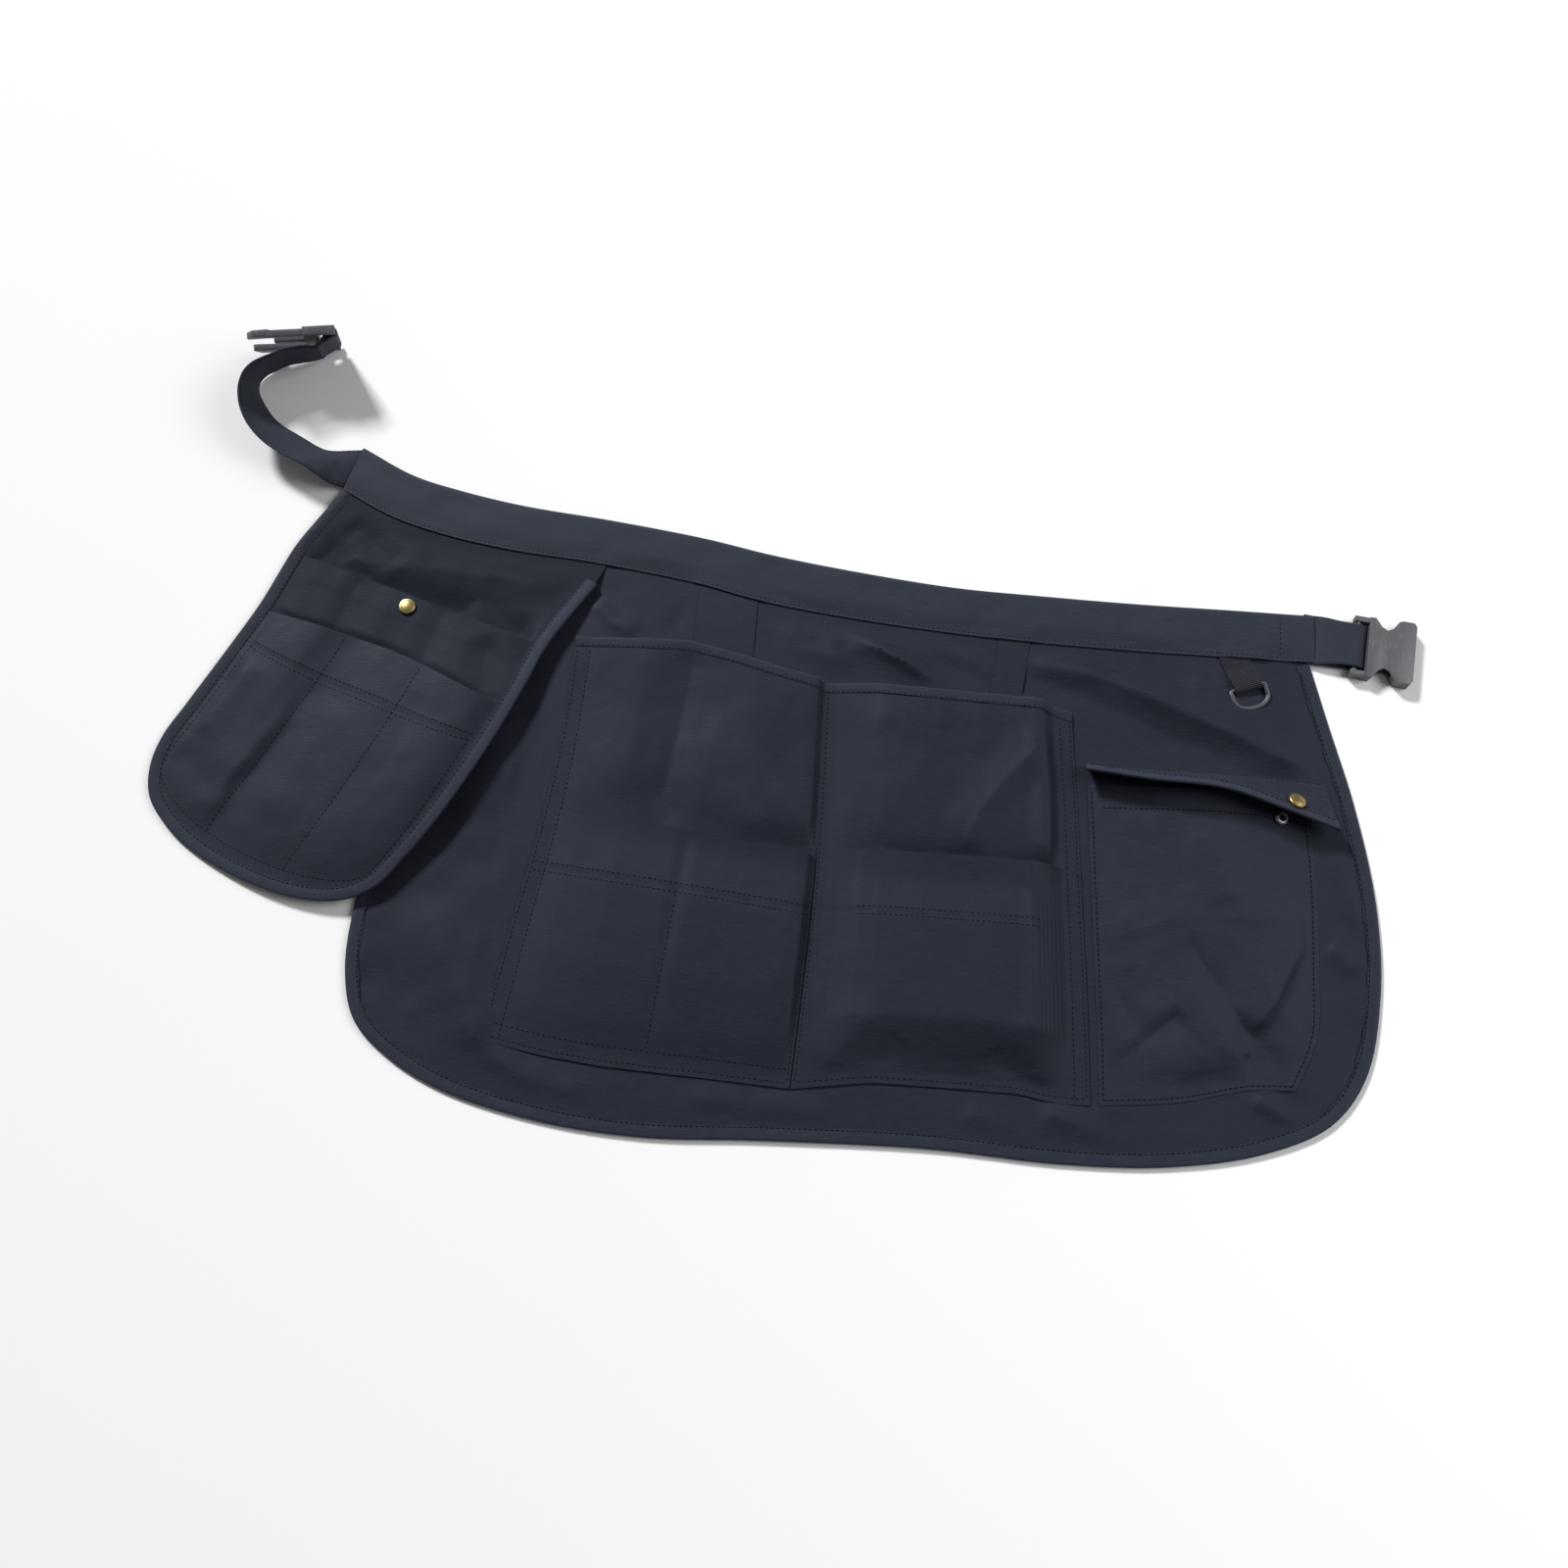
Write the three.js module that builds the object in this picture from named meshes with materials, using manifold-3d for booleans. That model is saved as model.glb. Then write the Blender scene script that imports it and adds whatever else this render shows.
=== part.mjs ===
// Hairdresser's waist apron with tool pockets, lying on its back with its front up.
// Millimetres. +X runs along the waistband to the viewer's right, +Y from the hem to the waistband, and +Z
// up out of the front. The origin is on the table under the middle of the whole.
import * as THREE from 'three';
import { mergeVertices } from 'three/addons/utils/BufferGeometryUtils.js';
import Module from 'manifold-3d';

const wasm = await Module();
wasm.setup();

// Cloth and gaps
const GAP = 0.3;
const PANEL_WALL = 1.0;
const POCKET_WALL = 1.2;
const BINDING_WALL = 1.0;
const BINDING_LEG = 9.5;
const BINDING_SLOT = PANEL_WALL + 2 * GAP;
const PANEL_LOW = BINDING_WALL + GAP;
const PANEL_TOP = PANEL_LOW + PANEL_WALL;
const ON_PANEL = PANEL_TOP + GAP;
const STACK = POCKET_WALL + GAP;

// The plan point under the middle of the whole
const MIDDLE = { x: -5.44, y: 24.71 };

// Waistband: plan points of its lower seam and of its folded top edge
const BAND_WALL = 1.0;
const BAND_SLOT = 2.9;
const BAND_STEPS = 30;
const BAND_TUCK = 16;
const BAND = [
  { lowX: -362, lowY: 184, topX: -354, topY: 221 },
  { lowX: -322, lowY: 167.5, topX: -312, topY: 203.5 },
  { lowX: -283, lowY: 158.5, topX: -275, topY: 196 },
  { lowX: -230, lowY: 152.5, topX: -225, topY: 190 },
  { lowX: -160, lowY: 150.5, topX: -156, topY: 187 },
  { lowX: -90, lowY: 145.5, topX: -85, topY: 182 },
  { lowX: -38, lowY: 137.5, topX: -33, topY: 175.5 },
  { lowX: 30, lowY: 133, topX: 34, topY: 170.5 },
  { lowX: 105, lowY: 131.5, topX: 105, topY: 168 },
  { lowX: 165, lowY: 132.5, topX: 165, topY: 170 },
  { lowX: 240, lowY: 136, topX: 238, topY: 173.5 },
  { lowX: 315, lowY: 141, topX: 312, topY: 178.5 },
  { lowX: 370, lowY: 144.5, topX: 368, topY: 182 },
];

// Hem: plan points of the panel's bound edge, from under the pouch round the bottom to the band's right end
const HEM_STEPS = 62;
const HEM = [
  { x: -218, y: 137 }, { x: -236, y: 90 }, { x: -262, y: 0 }, { x: -280, y: -90 }, { x: -284, y: -138 },
  { x: -280, y: -178 }, { x: -267, y: -209 }, { x: -240, y: -230 }, { x: -198, y: -247.5 },
  { x: -130, y: -258.6 }, { x: -60, y: -259.5 }, { x: 20, y: -250.5 }, { x: 130, y: -240.5 },
  { x: 220, y: -238 }, { x: 290, y: -230 }, { x: 352, y: -213 }, { x: 396, y: -188 }, { x: 418, y: -153 },
  { x: 426, y: -95 }, { x: 421, y: -32 }, { x: 403, y: 40 }, { x: 382, y: 100 }, { x: 367, y: 143.5 },
];
const HEM_LEFT_END = 4 / 22;
const HEM_RIGHT_START = 18 / 22;

// Panel: its top corners inside the band, its grid, and the soft folds of its bare stretches
const PANEL_CORNERS = { leftX: -208, leftY: 167, rightX: 362, rightY: 160 };
const PANEL_COLUMNS = 28;
const PANEL_ROWS = [0, 0.07, 0.11, 0.15, 0.19, 0.24, 0.32, 0.46, 0.62, 0.78, 0.9, 0.96, 1];
const PANEL_FOLDS = [
  { fromX: 196, fromY: 112, toX: 276, toY: 92, half: 22, rise: 3.4 },
  { fromX: 40, fromY: 122, toX: 76, toY: 110, half: 18, rise: 2.4 },
];

// Cloth tabs that hang from the band behind the centre pocket
const TAB_TUCK = 8;
const TABS = [
  { name: 'tab_left', x: -61, width: 44, top: 141, bottom: 72, lean: 0.06 },
  { name: 'tab_right', x: 152, width: 23, top: 134, bottom: 66, lean: -0.05 },
];

// Side pouch: plan points of its bound edge, and how far it stands off the table
const POUCH_STEPS = 44;
const POUCH = [
  { x: -363.5, y: 181 }, { x: -377, y: 155 }, { x: -388, y: 132 }, { x: -402.5, y: 85 }, { x: -415, y: 53 },
  { x: -437, y: 0 }, { x: -448, y: -27 }, { x: -451, y: -50 }, { x: -446, y: -72 }, { x: -430, y: -91 },
  { x: -407, y: -107 }, { x: -360, y: -125.5 }, { x: -321, y: -132 }, { x: -291, y: -129 },
  { x: -270, y: -117 }, { x: -255, y: -96 }, { x: -240, y: -71 }, { x: -221, y: -31 }, { x: -207, y: 4 },
  { x: -195, y: 40 }, { x: -185, y: 75 }, { x: -172, y: 104 }, { x: -158, y: 132 },
];
const POUCH_LEFT_END = 7 / 22;
const POUCH_RIGHT_START = 14 / 22;
const POUCH_CORNERS = { leftX: -357, leftY: 196, rightX: -150, rightY: 166 };
const POUCH_SIDES = { leftX: -363, leftY: 183, leftLean: 0.358, rightX: -150, rightY: 149, rightLean: 0.44 };
const POUCH_IN_BAND = ON_PANEL;
const POUCH_GAP = 0.7;
const POUCH_INSET = BINDING_WALL + 4 * GAP;
const POUCH_ON_TABLE = BINDING_WALL + POUCH_GAP;
const POUCH_LIFT_FROM = 0.22;
const POUCH_BASE = [
  { at: -140, height: POUCH_ON_TABLE }, { at: 122, height: POUCH_ON_TABLE },
  { at: 148, height: POUCH_IN_BAND }, { at: 230, height: POUCH_IN_BAND },
];
const POUCH_LIFT = [
  { at: -140, height: 6 }, { at: -118, height: 9 }, { at: -75, height: 14 }, { at: -20, height: 17 },
  { at: 40, height: 16 }, { at: 100, height: 10 }, { at: 136, height: 4.2 }, { at: 148, height: 0 },
  { at: 230, height: 0 },
];
const POUCH_COLUMNS = [0, 0.07, 0.2, 0.34, 0.46, 0.56, 0.65, 0.78, 0.93, 1];
const POUCH_ROWS = [0, 0.055, 0.1, 0.2, 0.32, 0.44, 0.56, 0.68, 0.8, 0.95, 1];

// Pouch pockets: how far they stand inside the bound edge, their mouths as shares of the bound edge, and
// their heights across and down
const TIER_INSET = BINDING_LEG + BINDING_WALL + 2 * GAP;
const TIER_LEFT = { from: 2.05 / 22, to: POUCH_LEFT_END };
const TIER_RIGHT = { from: POUCH_RIGHT_START, to: 20 / 22 };
const TIER_BULGE = 5.6;
const TIER_COLUMNS = [0, 0.04, 0.1, 0.17, 0.27, 0.31, 0.34, 0.37, 0.42, 0.5, 0.58, 0.62, 0.65, 0.68, 0.73,
  0.83, 0.9, 0.96, 1];
const TIER_ROWS = [0, 0.12, 0.26, 0.4, 0.56, 0.72, 0.84, 0.9, 0.96, 1];
const LOW_TIER_FIRST_ROW = 2;
const LOW_TIER_ARCH = { rise: 0.065, until: 0.56 };
const LOW_TIER_SEAM = 0.0012;
const LOW_TIER_PARTS = [
  { name: 'pouch_low_left', from: 0, to: 0.34 },
  { name: 'pouch_low_middle', from: 0.34, to: 0.65 },
  { name: 'pouch_low_right', from: 0.65, to: 1 },
];
const TIER_ACROSS = [
  { at: 0, height: 0 }, { at: 0.04, height: 0 }, { at: 0.17, height: 1 }, { at: 0.83, height: 1 },
  { at: 0.96, height: 0 }, { at: 1, height: 0 },
];
const LOW_TIER_ACROSS = [
  { at: 0, height: 0 }, { at: 0.04, height: 0 }, { at: 0.1, height: 0.9 }, { at: 0.17, height: 1.15 },
  { at: 0.27, height: 0.95 }, { at: 0.34, height: 0 }, { at: 0.42, height: 0.95 }, { at: 0.5, height: 1 },
  { at: 0.58, height: 0.95 }, { at: 0.65, height: 0 }, { at: 0.73, height: 0.95 }, { at: 0.83, height: 1 },
  { at: 0.9, height: 0.9 }, { at: 0.96, height: 0 }, { at: 1, height: 0 },
];
const TIER_DOWN = [
  { at: 0, height: 1 }, { at: 0.72, height: 1 }, { at: 0.84, height: 0.8 }, { at: 0.96, height: 0 },
  { at: 1, height: 0 },
];

// Centre pocket: plan points of its left seam, divider and right seam, top to bottom
const CENTRE_LEFT = [
  { x: -166, y: 89 }, { x: -164, y: 15 }, { x: -167, y: -60 }, { x: -174, y: -135 }, { x: -180, y: -210 },
];
const CENTRE_MID = [
  { x: 20, y: 78 }, { x: 26, y: 3 }, { x: 31, y: -69 }, { x: 33, y: -140 }, { x: 34, y: -213 },
];
const CENTRE_RIGHT = [
  { x: 198, y: 80 }, { x: 209, y: 10 }, { x: 218, y: -60 }, { x: 227, y: -128 }, { x: 235, y: -197 },
];
const CENTRE_MOUTH = [
  { at: 0, height: 0 }, { at: 0.1, height: 5 }, { at: 0.22, height: 11 }, { at: 0.3, height: 9 },
  { at: 0.42, height: 3 }, { at: 0.5, height: 0 }, { at: 0.6, height: 3 }, { at: 0.7, height: 3 },
  { at: 0.93, height: 5 }, { at: 1, height: 0 },
];
const CENTRE_BOTTOM = [
  { at: 0, height: 0 }, { at: 0.1, height: -4.5 }, { at: 0.2, height: -5.5 }, { at: 0.35, height: -3 },
  { at: 0.5, height: -1 }, { at: 0.57, height: 3 }, { at: 0.63, height: 6.5 }, { at: 0.75, height: 6 },
  { at: 0.88, height: 5 }, { at: 0.94, height: 0 }, { at: 1, height: 0 },
];
const CENTRE_BULGE = 7.2;
const CENTRE_LEFT_COLUMNS = [0, 0.025, 0.045, 0.075, 0.15, 0.22, 0.25, 0.265, 0.28, 0.36, 0.43, 0.465, 0.49,
  0.5];
const CENTRE_RIGHT_COLUMNS = [0.5, 0.51, 0.53, 0.55, 0.565, 0.585, 0.65, 0.75, 0.85, 0.91, 0.935, 0.955,
  0.975, 1];
const CENTRE_COLUMNS = [...CENTRE_LEFT_COLUMNS, ...CENTRE_RIGHT_COLUMNS.slice(1)];
const CENTRE_ROWS = [0, 0.05, 0.15, 0.3, 0.44, 0.58, 0.72, 0.81, 0.86, 0.91, 0.968, 1];
const CENTRE_LOW_FIRST_ROW = 4;
const LOW_RIGHT_MOUTH = 0.415;
const LOW_SEAM_SHARE = 0.0012;
const CENTRE_ACROSS = [
  { at: 0, height: 0 }, { at: 0.025, height: 0 }, { at: 0.075, height: 0.95 }, { at: 0.22, height: 1 },
  { at: 0.43, height: 0.95 }, { at: 0.49, height: 0 }, { at: 0.51, height: 0 }, { at: 0.565, height: 0.95 },
  { at: 0.75, height: 1.1 }, { at: 0.935, height: 1 }, { at: 0.975, height: 0 }, { at: 1, height: 0 },
];
const CENTRE_DOWN = [
  { at: 0, height: 1 }, { at: 0.86, height: 1 }, { at: 0.91, height: 0.75 }, { at: 0.968, height: 0 },
  { at: 1, height: 0 },
];
const CENTRE_MOUTH_LIFT = [
  { at: 0, height: 1.5 }, { at: 0.05, height: 1.5 }, { at: 0.15, height: 0 }, { at: 1, height: 0 },
];
const LOW_LEFT_BULGE = 6;
const LOW_LEFT_ACROSS = [
  { at: 0, height: 0 }, { at: 0.025, height: 0 }, { at: 0.075, height: 0.95 }, { at: 0.15, height: 1 },
  { at: 0.25, height: 0.9 }, { at: 0.265, height: 0 }, { at: 0.28, height: 0.9 }, { at: 0.36, height: 1 },
  { at: 0.43, height: 0.95 }, { at: 0.49, height: 0 }, { at: 0.5, height: 0 },
];
const LOW_RIGHT_BULGE = 8;
const LOW_RIGHT_ACROSS = [
  { at: 0.5, height: 0 }, { at: 0.51, height: 0 }, { at: 0.53, height: 0.3 }, { at: 0.55, height: 0.12 },
  { at: 0.565, height: 0.5 }, { at: 0.585, height: 1 }, { at: 0.75, height: 1.05 }, { at: 0.91, height: 1 },
  { at: 0.935, height: 0.5 }, { at: 0.955, height: 0.2 }, { at: 0.975, height: 0 }, { at: 1, height: 0 },
];
const LOW_RIGHT_DOWN = [
  { at: 0, height: 1 }, { at: 0.81, height: 1 }, { at: 0.86, height: 0.55 }, { at: 0.91, height: 0.35 },
  { at: 0.968, height: 0 }, { at: 1, height: 0 },
];
const MOUTH_BINDING_LEG = 7.5;

// Flap pocket: plan points of its seams
const FLAP_POCKET_TOP = [{ x: 214, y: 29 }, { x: 262, y: 32 }, { x: 314, y: 36 }, { x: 371, y: 36 }];
const FLAP_POCKET_LEFT = [{ x: 214, y: 29 }, { x: 226, y: -70 }, { x: 236, y: -150 }, { x: 241, y: -196 }];
const FLAP_POCKET_RIGHT = [
  { x: 371, y: 36 }, { x: 379, y: -20 }, { x: 383, y: -80 }, { x: 384, y: -130 }, { x: 371, y: -168 },
];
const FLAP_POCKET_BOTTOM = [
  { x: 241, y: -196 }, { x: 292, y: -187 }, { x: 340, y: -172 }, { x: 371, y: -168 },
];
const FLAP_POCKET_BULGE = 9;
const FLAP_POCKET_COLUMNS = [0, 0.06, 0.11, 0.17, 0.28, 0.38, 0.48, 0.58, 0.68, 0.78, 0.86, 0.94, 1];
const FLAP_POCKET_ROWS = [0, 0.1, 0.2, 0.32, 0.44, 0.54, 0.64, 0.74, 0.83, 0.9, 0.96, 1];
const FLAP_POCKET_ACROSS = [
  { at: 0, height: 0 }, { at: 0.06, height: 0 }, { at: 0.17, height: 0.95 }, { at: 0.48, height: 1.05 },
  { at: 0.78, height: 1 }, { at: 0.94, height: 0 }, { at: 1, height: 0 },
];
const FLAP_POCKET_DOWN = [
  { at: 0, height: 1 }, { at: 0.74, height: 1 }, { at: 0.83, height: 0.85 }, { at: 0.96, height: 0 },
  { at: 1, height: 0 },
];
const FLAP_POCKET_FOLDS = [
  { fromX: 293, fromY: -78, toX: 330, toY: -120, half: 24, rise: 3.5 },
  { fromX: 330, fromY: -120, toX: 350, toY: -150, half: 20, rise: 3 },
  { fromX: 252, fromY: -160, toX: 282, toY: -132, half: 18, rise: 2.5 },
  { fromX: 240, fromY: -66, toX: 372, toY: -58, half: 16, rise: 2 },
];

// Flap: its sewn line on the panel and its free edge, lifted towards the viewer
const FLAP_SEAM = [
  { x: 212, y: 43, z: ON_PANEL }, { x: 262, y: 46, z: ON_PANEL }, { x: 314, y: 50, z: ON_PANEL },
  { x: 380, y: 53, z: ON_PANEL },
];
const FLAP_EDGE = [
  { x: 210, y: 33, z: 24 }, { x: 256, y: 29, z: 34 }, { x: 311, y: 29, z: 34 }, { x: 350, y: 21, z: 30 },
  { x: 390, y: 15, z: 19 },
];
const FLAP_BOW = 5;
const FLAP_GAP = 0.65;
const FLAP_COLUMNS = 12;
const FLAP_ROWS = [0, 0.15, 0.35, 0.6, 0.8, 1];
const FLAP_SNAP_AT = { u: 0.83, v: 0.77 };

// Left strap: the foot of its standing edge, the way its width faces in plan, and its turn from flat to
// upright and past it, from the band's end to the male buckle
const STRAP_WIDTH = 34;
const STRAP_WALL = 2.0;
const STRAP_STEPS = 40;
const STRAP = [
  { x: -354.8, y: 219.4, z: 2.45, side: 258, turn: 0 }, { x: -364.5, y: 217.6, z: 2.4, side: 258, turn: 12 },
  { x: -373.5, y: 215.8, z: 2, side: 257, turn: 29 }, { x: -382.7, y: 215.6, z: 1.5, side: 254, turn: 41 },
  { x: -391.5, y: 218.4, z: 1.2, side: 250, turn: 42 }, { x: -400.5, y: 222.6, z: 1.2, side: 247, turn: 41 },
  { x: -409.5, y: 226.6, z: 1.2, side: 244, turn: 42 }, { x: -418.5, y: 230.5, z: 1.1, side: 239, turn: 47 },
  { x: -426, y: 235, z: 1, side: 232, turn: 53 }, { x: -433.5, y: 241.5, z: 0.9, side: 224, turn: 61 },
  { x: -440.5, y: 249.5, z: 0.7, side: 213, turn: 73 }, { x: -446, y: 257.5, z: 0.6, side: 199, turn: 88 },
  { x: -447.5, y: 265.5, z: 0.6, side: 178, turn: 99 }, { x: -444.5, y: 273, z: 0.7, side: 157, turn: 104 },
  { x: -437, y: 279.6, z: 0.9, side: 143, turn: 105 }, { x: -428, y: 285, z: 1.8, side: 134, turn: 104 },
  { x: -418, y: 287.8, z: 3.2, side: 129, turn: 104 }, { x: -409.5, y: 289.4, z: 5, side: 127, turn: 106 },
  { x: -403, y: 291.6, z: 6.5, side: 127, turn: 109 }, { x: -400.6, y: 294.2, z: 7, side: 127, turn: 109 },
];

// Buckles for strap of this width, and the loops of strap around their bars
const BAR_RADIUS = 2.2;
const LOOP_WALL = 1.6;
const LOOP_RADIUS = BAR_RADIUS + GAP;
const LOOP_NECK = 15;
const BUCKLE_HALF = 23.5;
const BUCKLE_INNER = 19.5;
const RAIL_HEIGHT = 6.5;
const MALE = { x: -390, y: 299.7, z: 24.4, thick: 6.5, body: 10, base: 21 };
const MALE_TURN = { heading: 196, pitch: 7, roll: 72, fromStrap: 40 };
const MALE_PRONG = { end: 62, neck: 5.5, head: 9, guide: 4, guideEnd: 44 };
const FEMALE = { x: 399, y: 161.1, z: 4.75, heading: -3, thick: 9.5, start: 8, end: 42 };
const FEMALE_SIDE = { waist: 15, mouth: 24.5 };
const SOCKET = { depth: 25, half: 19.5, height: 5.4 };
const RIGHT_TAB = { loopBack: 31, tuck: 8, tail: 1.0 };

// Ring and the webbing that holds it
const RING_BAR_RADIUS = 1.75;
const RING = { x: 322.5, y: 117.5, z: 5.65, heading: -66, inner: 22.5, depth: 15, settle: 4 };
const RING_WEB = { width: 21, wall: 1.0, neck: 9, tail: 25 };

// Snaps
const SNAP_SIDES = 16;
const SNAP_CAP = [
  { r: 0, z: 0 }, { r: 6.3, z: 0 }, { r: 6.3, z: 0.9 }, { r: 5.2, z: 2.1 }, { r: 3, z: 2.8 }, { r: 0, z: 3 },
];
const SNAP_SOCKET = [
  { r: 2.2, z: 0 }, { r: 5.2, z: 0 }, { r: 4.6, z: 1.8 }, { r: 2.6, z: 1.8 }, { r: 2.2, z: 0 },
];
const POUCH_SNAP = { u: 0.485, v: 0.04 };
const SOCKET_AT = { u: 0.86, v: 0.07 };

const UP = new THREE.Vector3(0, 0, 1);

// Finishes
const PANEL_CLOTH = new THREE.MeshStandardMaterial({ color: 0x24262f, roughness: 0.92, metalness: 0 });
const POCKET_CLOTH = new THREE.MeshStandardMaterial({ color: 0x262832, roughness: 0.9, metalness: 0 });
const BAND_CLOTH = new THREE.MeshStandardMaterial({ color: 0x2d303b, roughness: 0.9, metalness: 0 });
const BINDING_TAPE = new THREE.MeshStandardMaterial({ color: 0x2a2c36, roughness: 0.85, metalness: 0 });
const WEBBING = new THREE.MeshStandardMaterial({ color: 0x24262e, roughness: 0.88, metalness: 0 });
const PLASTIC = new THREE.MeshStandardMaterial({ color: 0x3c3e45, roughness: 0.5, metalness: 0 });
const BRASS = new THREE.MeshStandardMaterial({ color: 0x9a8a50, roughness: 0.35, metalness: 1 });

// Curves and tables

function curve(rows) {
  return new THREE.CatmullRomCurve3(rows.map((row) => new THREE.Vector3(row.x, row.y, row.z ?? 0)));
}

function between(rows, at) {
  const next = rows.findIndex((row) => row.at >= at);
  if (next < 1) {
    return rows[Math.max(next, 0)].height;
  }
  const low = rows[next - 1];
  const high = rows[next];
  return THREE.MathUtils.lerp(low.height, high.height, (at - low.at) / (high.at - low.at));
}

function evenly(count) {
  return Array.from({ length: count + 1 }, (unused, step) => step / count);
}

function folds(rows, x, y) {
  let height = 0;
  for (const row of rows) {
    const alongX = row.toX - row.fromX;
    const alongY = row.toY - row.fromY;
    const share = ((x - row.fromX) * alongX + (y - row.fromY) * alongY) / (alongX ** 2 + alongY ** 2);
    const nearest = THREE.MathUtils.clamp(share, 0, 1);
    const away = Math.hypot(x - row.fromX - nearest * alongX, y - row.fromY - nearest * alongY);
    height = Math.max(height, row.rise * THREE.MathUtils.smoothstep(row.half - away, 0, row.half));
  }
  return height;
}

// A stretch of an edge curve, moved to its left by an inset
function edgeStretch(edge, from, to, inset, count, ends = {}) {
  const points = evenly(count).map((share) => {
    const t = THREE.MathUtils.lerp(from, to, share);
    const along = edge.getTangent(t);
    return edge.getPoint(t).add(new THREE.Vector3(-along.y, along.x, 0).multiplyScalar(inset));
  });
  return new THREE.CatmullRomCurve3([...(ends.before ?? []), ...points, ...(ends.after ?? [])]);
}

function patch(top, bottom, left, right) {
  const corner = { topLeft: top.getPoint(0), topRight: top.getPoint(1) };
  corner.lowLeft = bottom.getPoint(0);
  corner.lowRight = bottom.getPoint(1);
  return (u, v) => {
    const point = top.getPointAt(u).multiplyScalar(1 - v);
    point.addScaledVector(bottom.getPointAt(u), v);
    point.addScaledVector(left.getPointAt(v), 1 - u);
    point.addScaledVector(right.getPointAt(v), u);
    point.addScaledVector(corner.topLeft, -(1 - u) * (1 - v));
    point.addScaledVector(corner.topRight, -u * (1 - v));
    point.addScaledVector(corner.lowLeft, -(1 - u) * v);
    point.addScaledVector(corner.lowRight, -u * v);
    return point;
  };
}

// Solids

function facingOut(positions, triangles) {
  let volume = 0;
  const corner = (index) => new THREE.Vector3().fromArray(positions, 3 * index);
  for (const [a, b, c] of triangles) {
    volume += corner(a).dot(corner(b).cross(corner(c)));
  }
  const index = triangles.flatMap(([a, b, c]) => (volume > 0 ? [a, b, c] : [a, c, b]));
  const geometry = new THREE.BufferGeometry();
  geometry.setAttribute('position', new THREE.Float32BufferAttribute(positions, 3));
  geometry.setIndex(index);
  return geometry;
}

// A wall between two faces that are functions of (u, v)
function wallBetween(lower, upper, columns, rows) {
  const across = columns.length;
  const down = rows.length;
  const layer = across * down;
  const positions = [];
  for (const face of [lower, upper]) {
    for (const v of rows) {
      for (const u of columns) {
        positions.push(...face(u, v).toArray());
      }
    }
  }
  const triangles = [];
  const quad = (a, b, c, d) => triangles.push([a, b, c], [a, c, d]);
  for (let row = 0; row < down - 1; row += 1) {
    for (let column = 0; column < across - 1; column += 1) {
      const a = row * across + column;
      const b = a + across;
      quad(a, a + 1, b + 1, b);
      quad(layer + a, layer + b, layer + b + 1, layer + a + 1);
    }
  }
  const rim = [];
  for (let column = 0; column < across - 1; column += 1) rim.push(column);
  for (let row = 0; row < down - 1; row += 1) rim.push(row * across + across - 1);
  for (let column = across - 1; column > 0; column -= 1) rim.push((down - 1) * across + column);
  for (let row = down - 1; row > 0; row -= 1) rim.push(row * across);
  rim.forEach((a, step) => {
    const b = rim[(step + 1) % rim.length];
    quad(b, a, layer + a, layer + b);
  });
  return facingOut(positions, triangles);
}

function sheet(lower, columns, rows, wall) {
  const upper = (u, v) => lower(u, v).addScaledVector(UP, wall);
  return wallBetween(lower, upper, columns, rows);
}

// A section of {inward, up} corners carried along stations of {at, inward, up}
function sweep(stations, section) {
  const sides = section.length;
  const positions = [];
  for (const station of stations) {
    for (const corner of section) {
      const point = station.at.clone().addScaledVector(station.inward, corner.inward);
      positions.push(...point.addScaledVector(station.up, corner.up).toArray());
    }
  }
  const triangles = [];
  for (let step = 0; step < stations.length - 1; step += 1) {
    for (let side = 0; side < sides; side += 1) {
      const a = step * sides + side;
      const b = step * sides + ((side + 1) % sides);
      triangles.push([a, b, b + sides], [a, b + sides, a + sides]);
    }
  }
  const outline = section.map((corner) => new THREE.Vector2(corner.inward, corner.up));
  const last = (stations.length - 1) * sides;
  const turn = THREE.ShapeUtils.isClockWise(outline) ? -1 : 1;
  for (const [a, b, c] of THREE.ShapeUtils.triangulateShape(outline, [])) {
    const cap = turn > 0 ? [a, b, c] : [a, c, b];
    triangles.push([cap[0], cap[2], cap[1]]);
    triangles.push([last + cap[0], last + cap[1], last + cap[2]]);
  }
  return facingOut(positions, triangles);
}

// The section of tape or band folded around an edge: its fold at 0, its two legs reaching inward
function foldedSection(leg, slot, wall) {
  const height = slot + 2 * wall;
  return [
    { inward: 0, up: 0 }, { inward: leg, up: 0 }, { inward: leg, up: wall }, { inward: wall, up: wall },
    { inward: wall, up: height - wall }, { inward: leg, up: height - wall }, { inward: leg, up: height },
    { inward: 0, up: height },
  ];
}

function solidOf(geometry) {
  const bare = geometry.clone();
  bare.deleteAttribute('normal');
  bare.deleteAttribute('uv');
  const welded = mergeVertices(bare, 1e-4);
  const index = [];
  for (let step = 0; step < welded.index.count; step += 3) {
    const [a, b, c] = [0, 1, 2].map((corner) => welded.index.getX(step + corner));
    if (a !== b && b !== c && c !== a) index.push(a, b, c);
  }
  const vertProperties = new Float32Array(welded.attributes.position.array);
  return new wasm.Manifold(new wasm.Mesh({ numProp: 3, vertProperties, triVerts: new Uint32Array(index) }));
}

function geometryOf(solid) {
  const mesh = solid.getMesh();
  const geometry = new THREE.BufferGeometry();
  geometry.setAttribute('position', new THREE.Float32BufferAttribute(mesh.vertProperties, 3));
  geometry.setIndex(Array.from(mesh.triVerts));
  return geometry;
}

function box(fromX, toX, fromY, toY, fromZ, toZ) {
  const geometry = new THREE.BoxGeometry(toX - fromX, toY - fromY, toZ - fromZ);
  return geometry.translate((fromX + toX) / 2, (fromY + toY) / 2, (fromZ + toZ) / 2);
}

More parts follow.
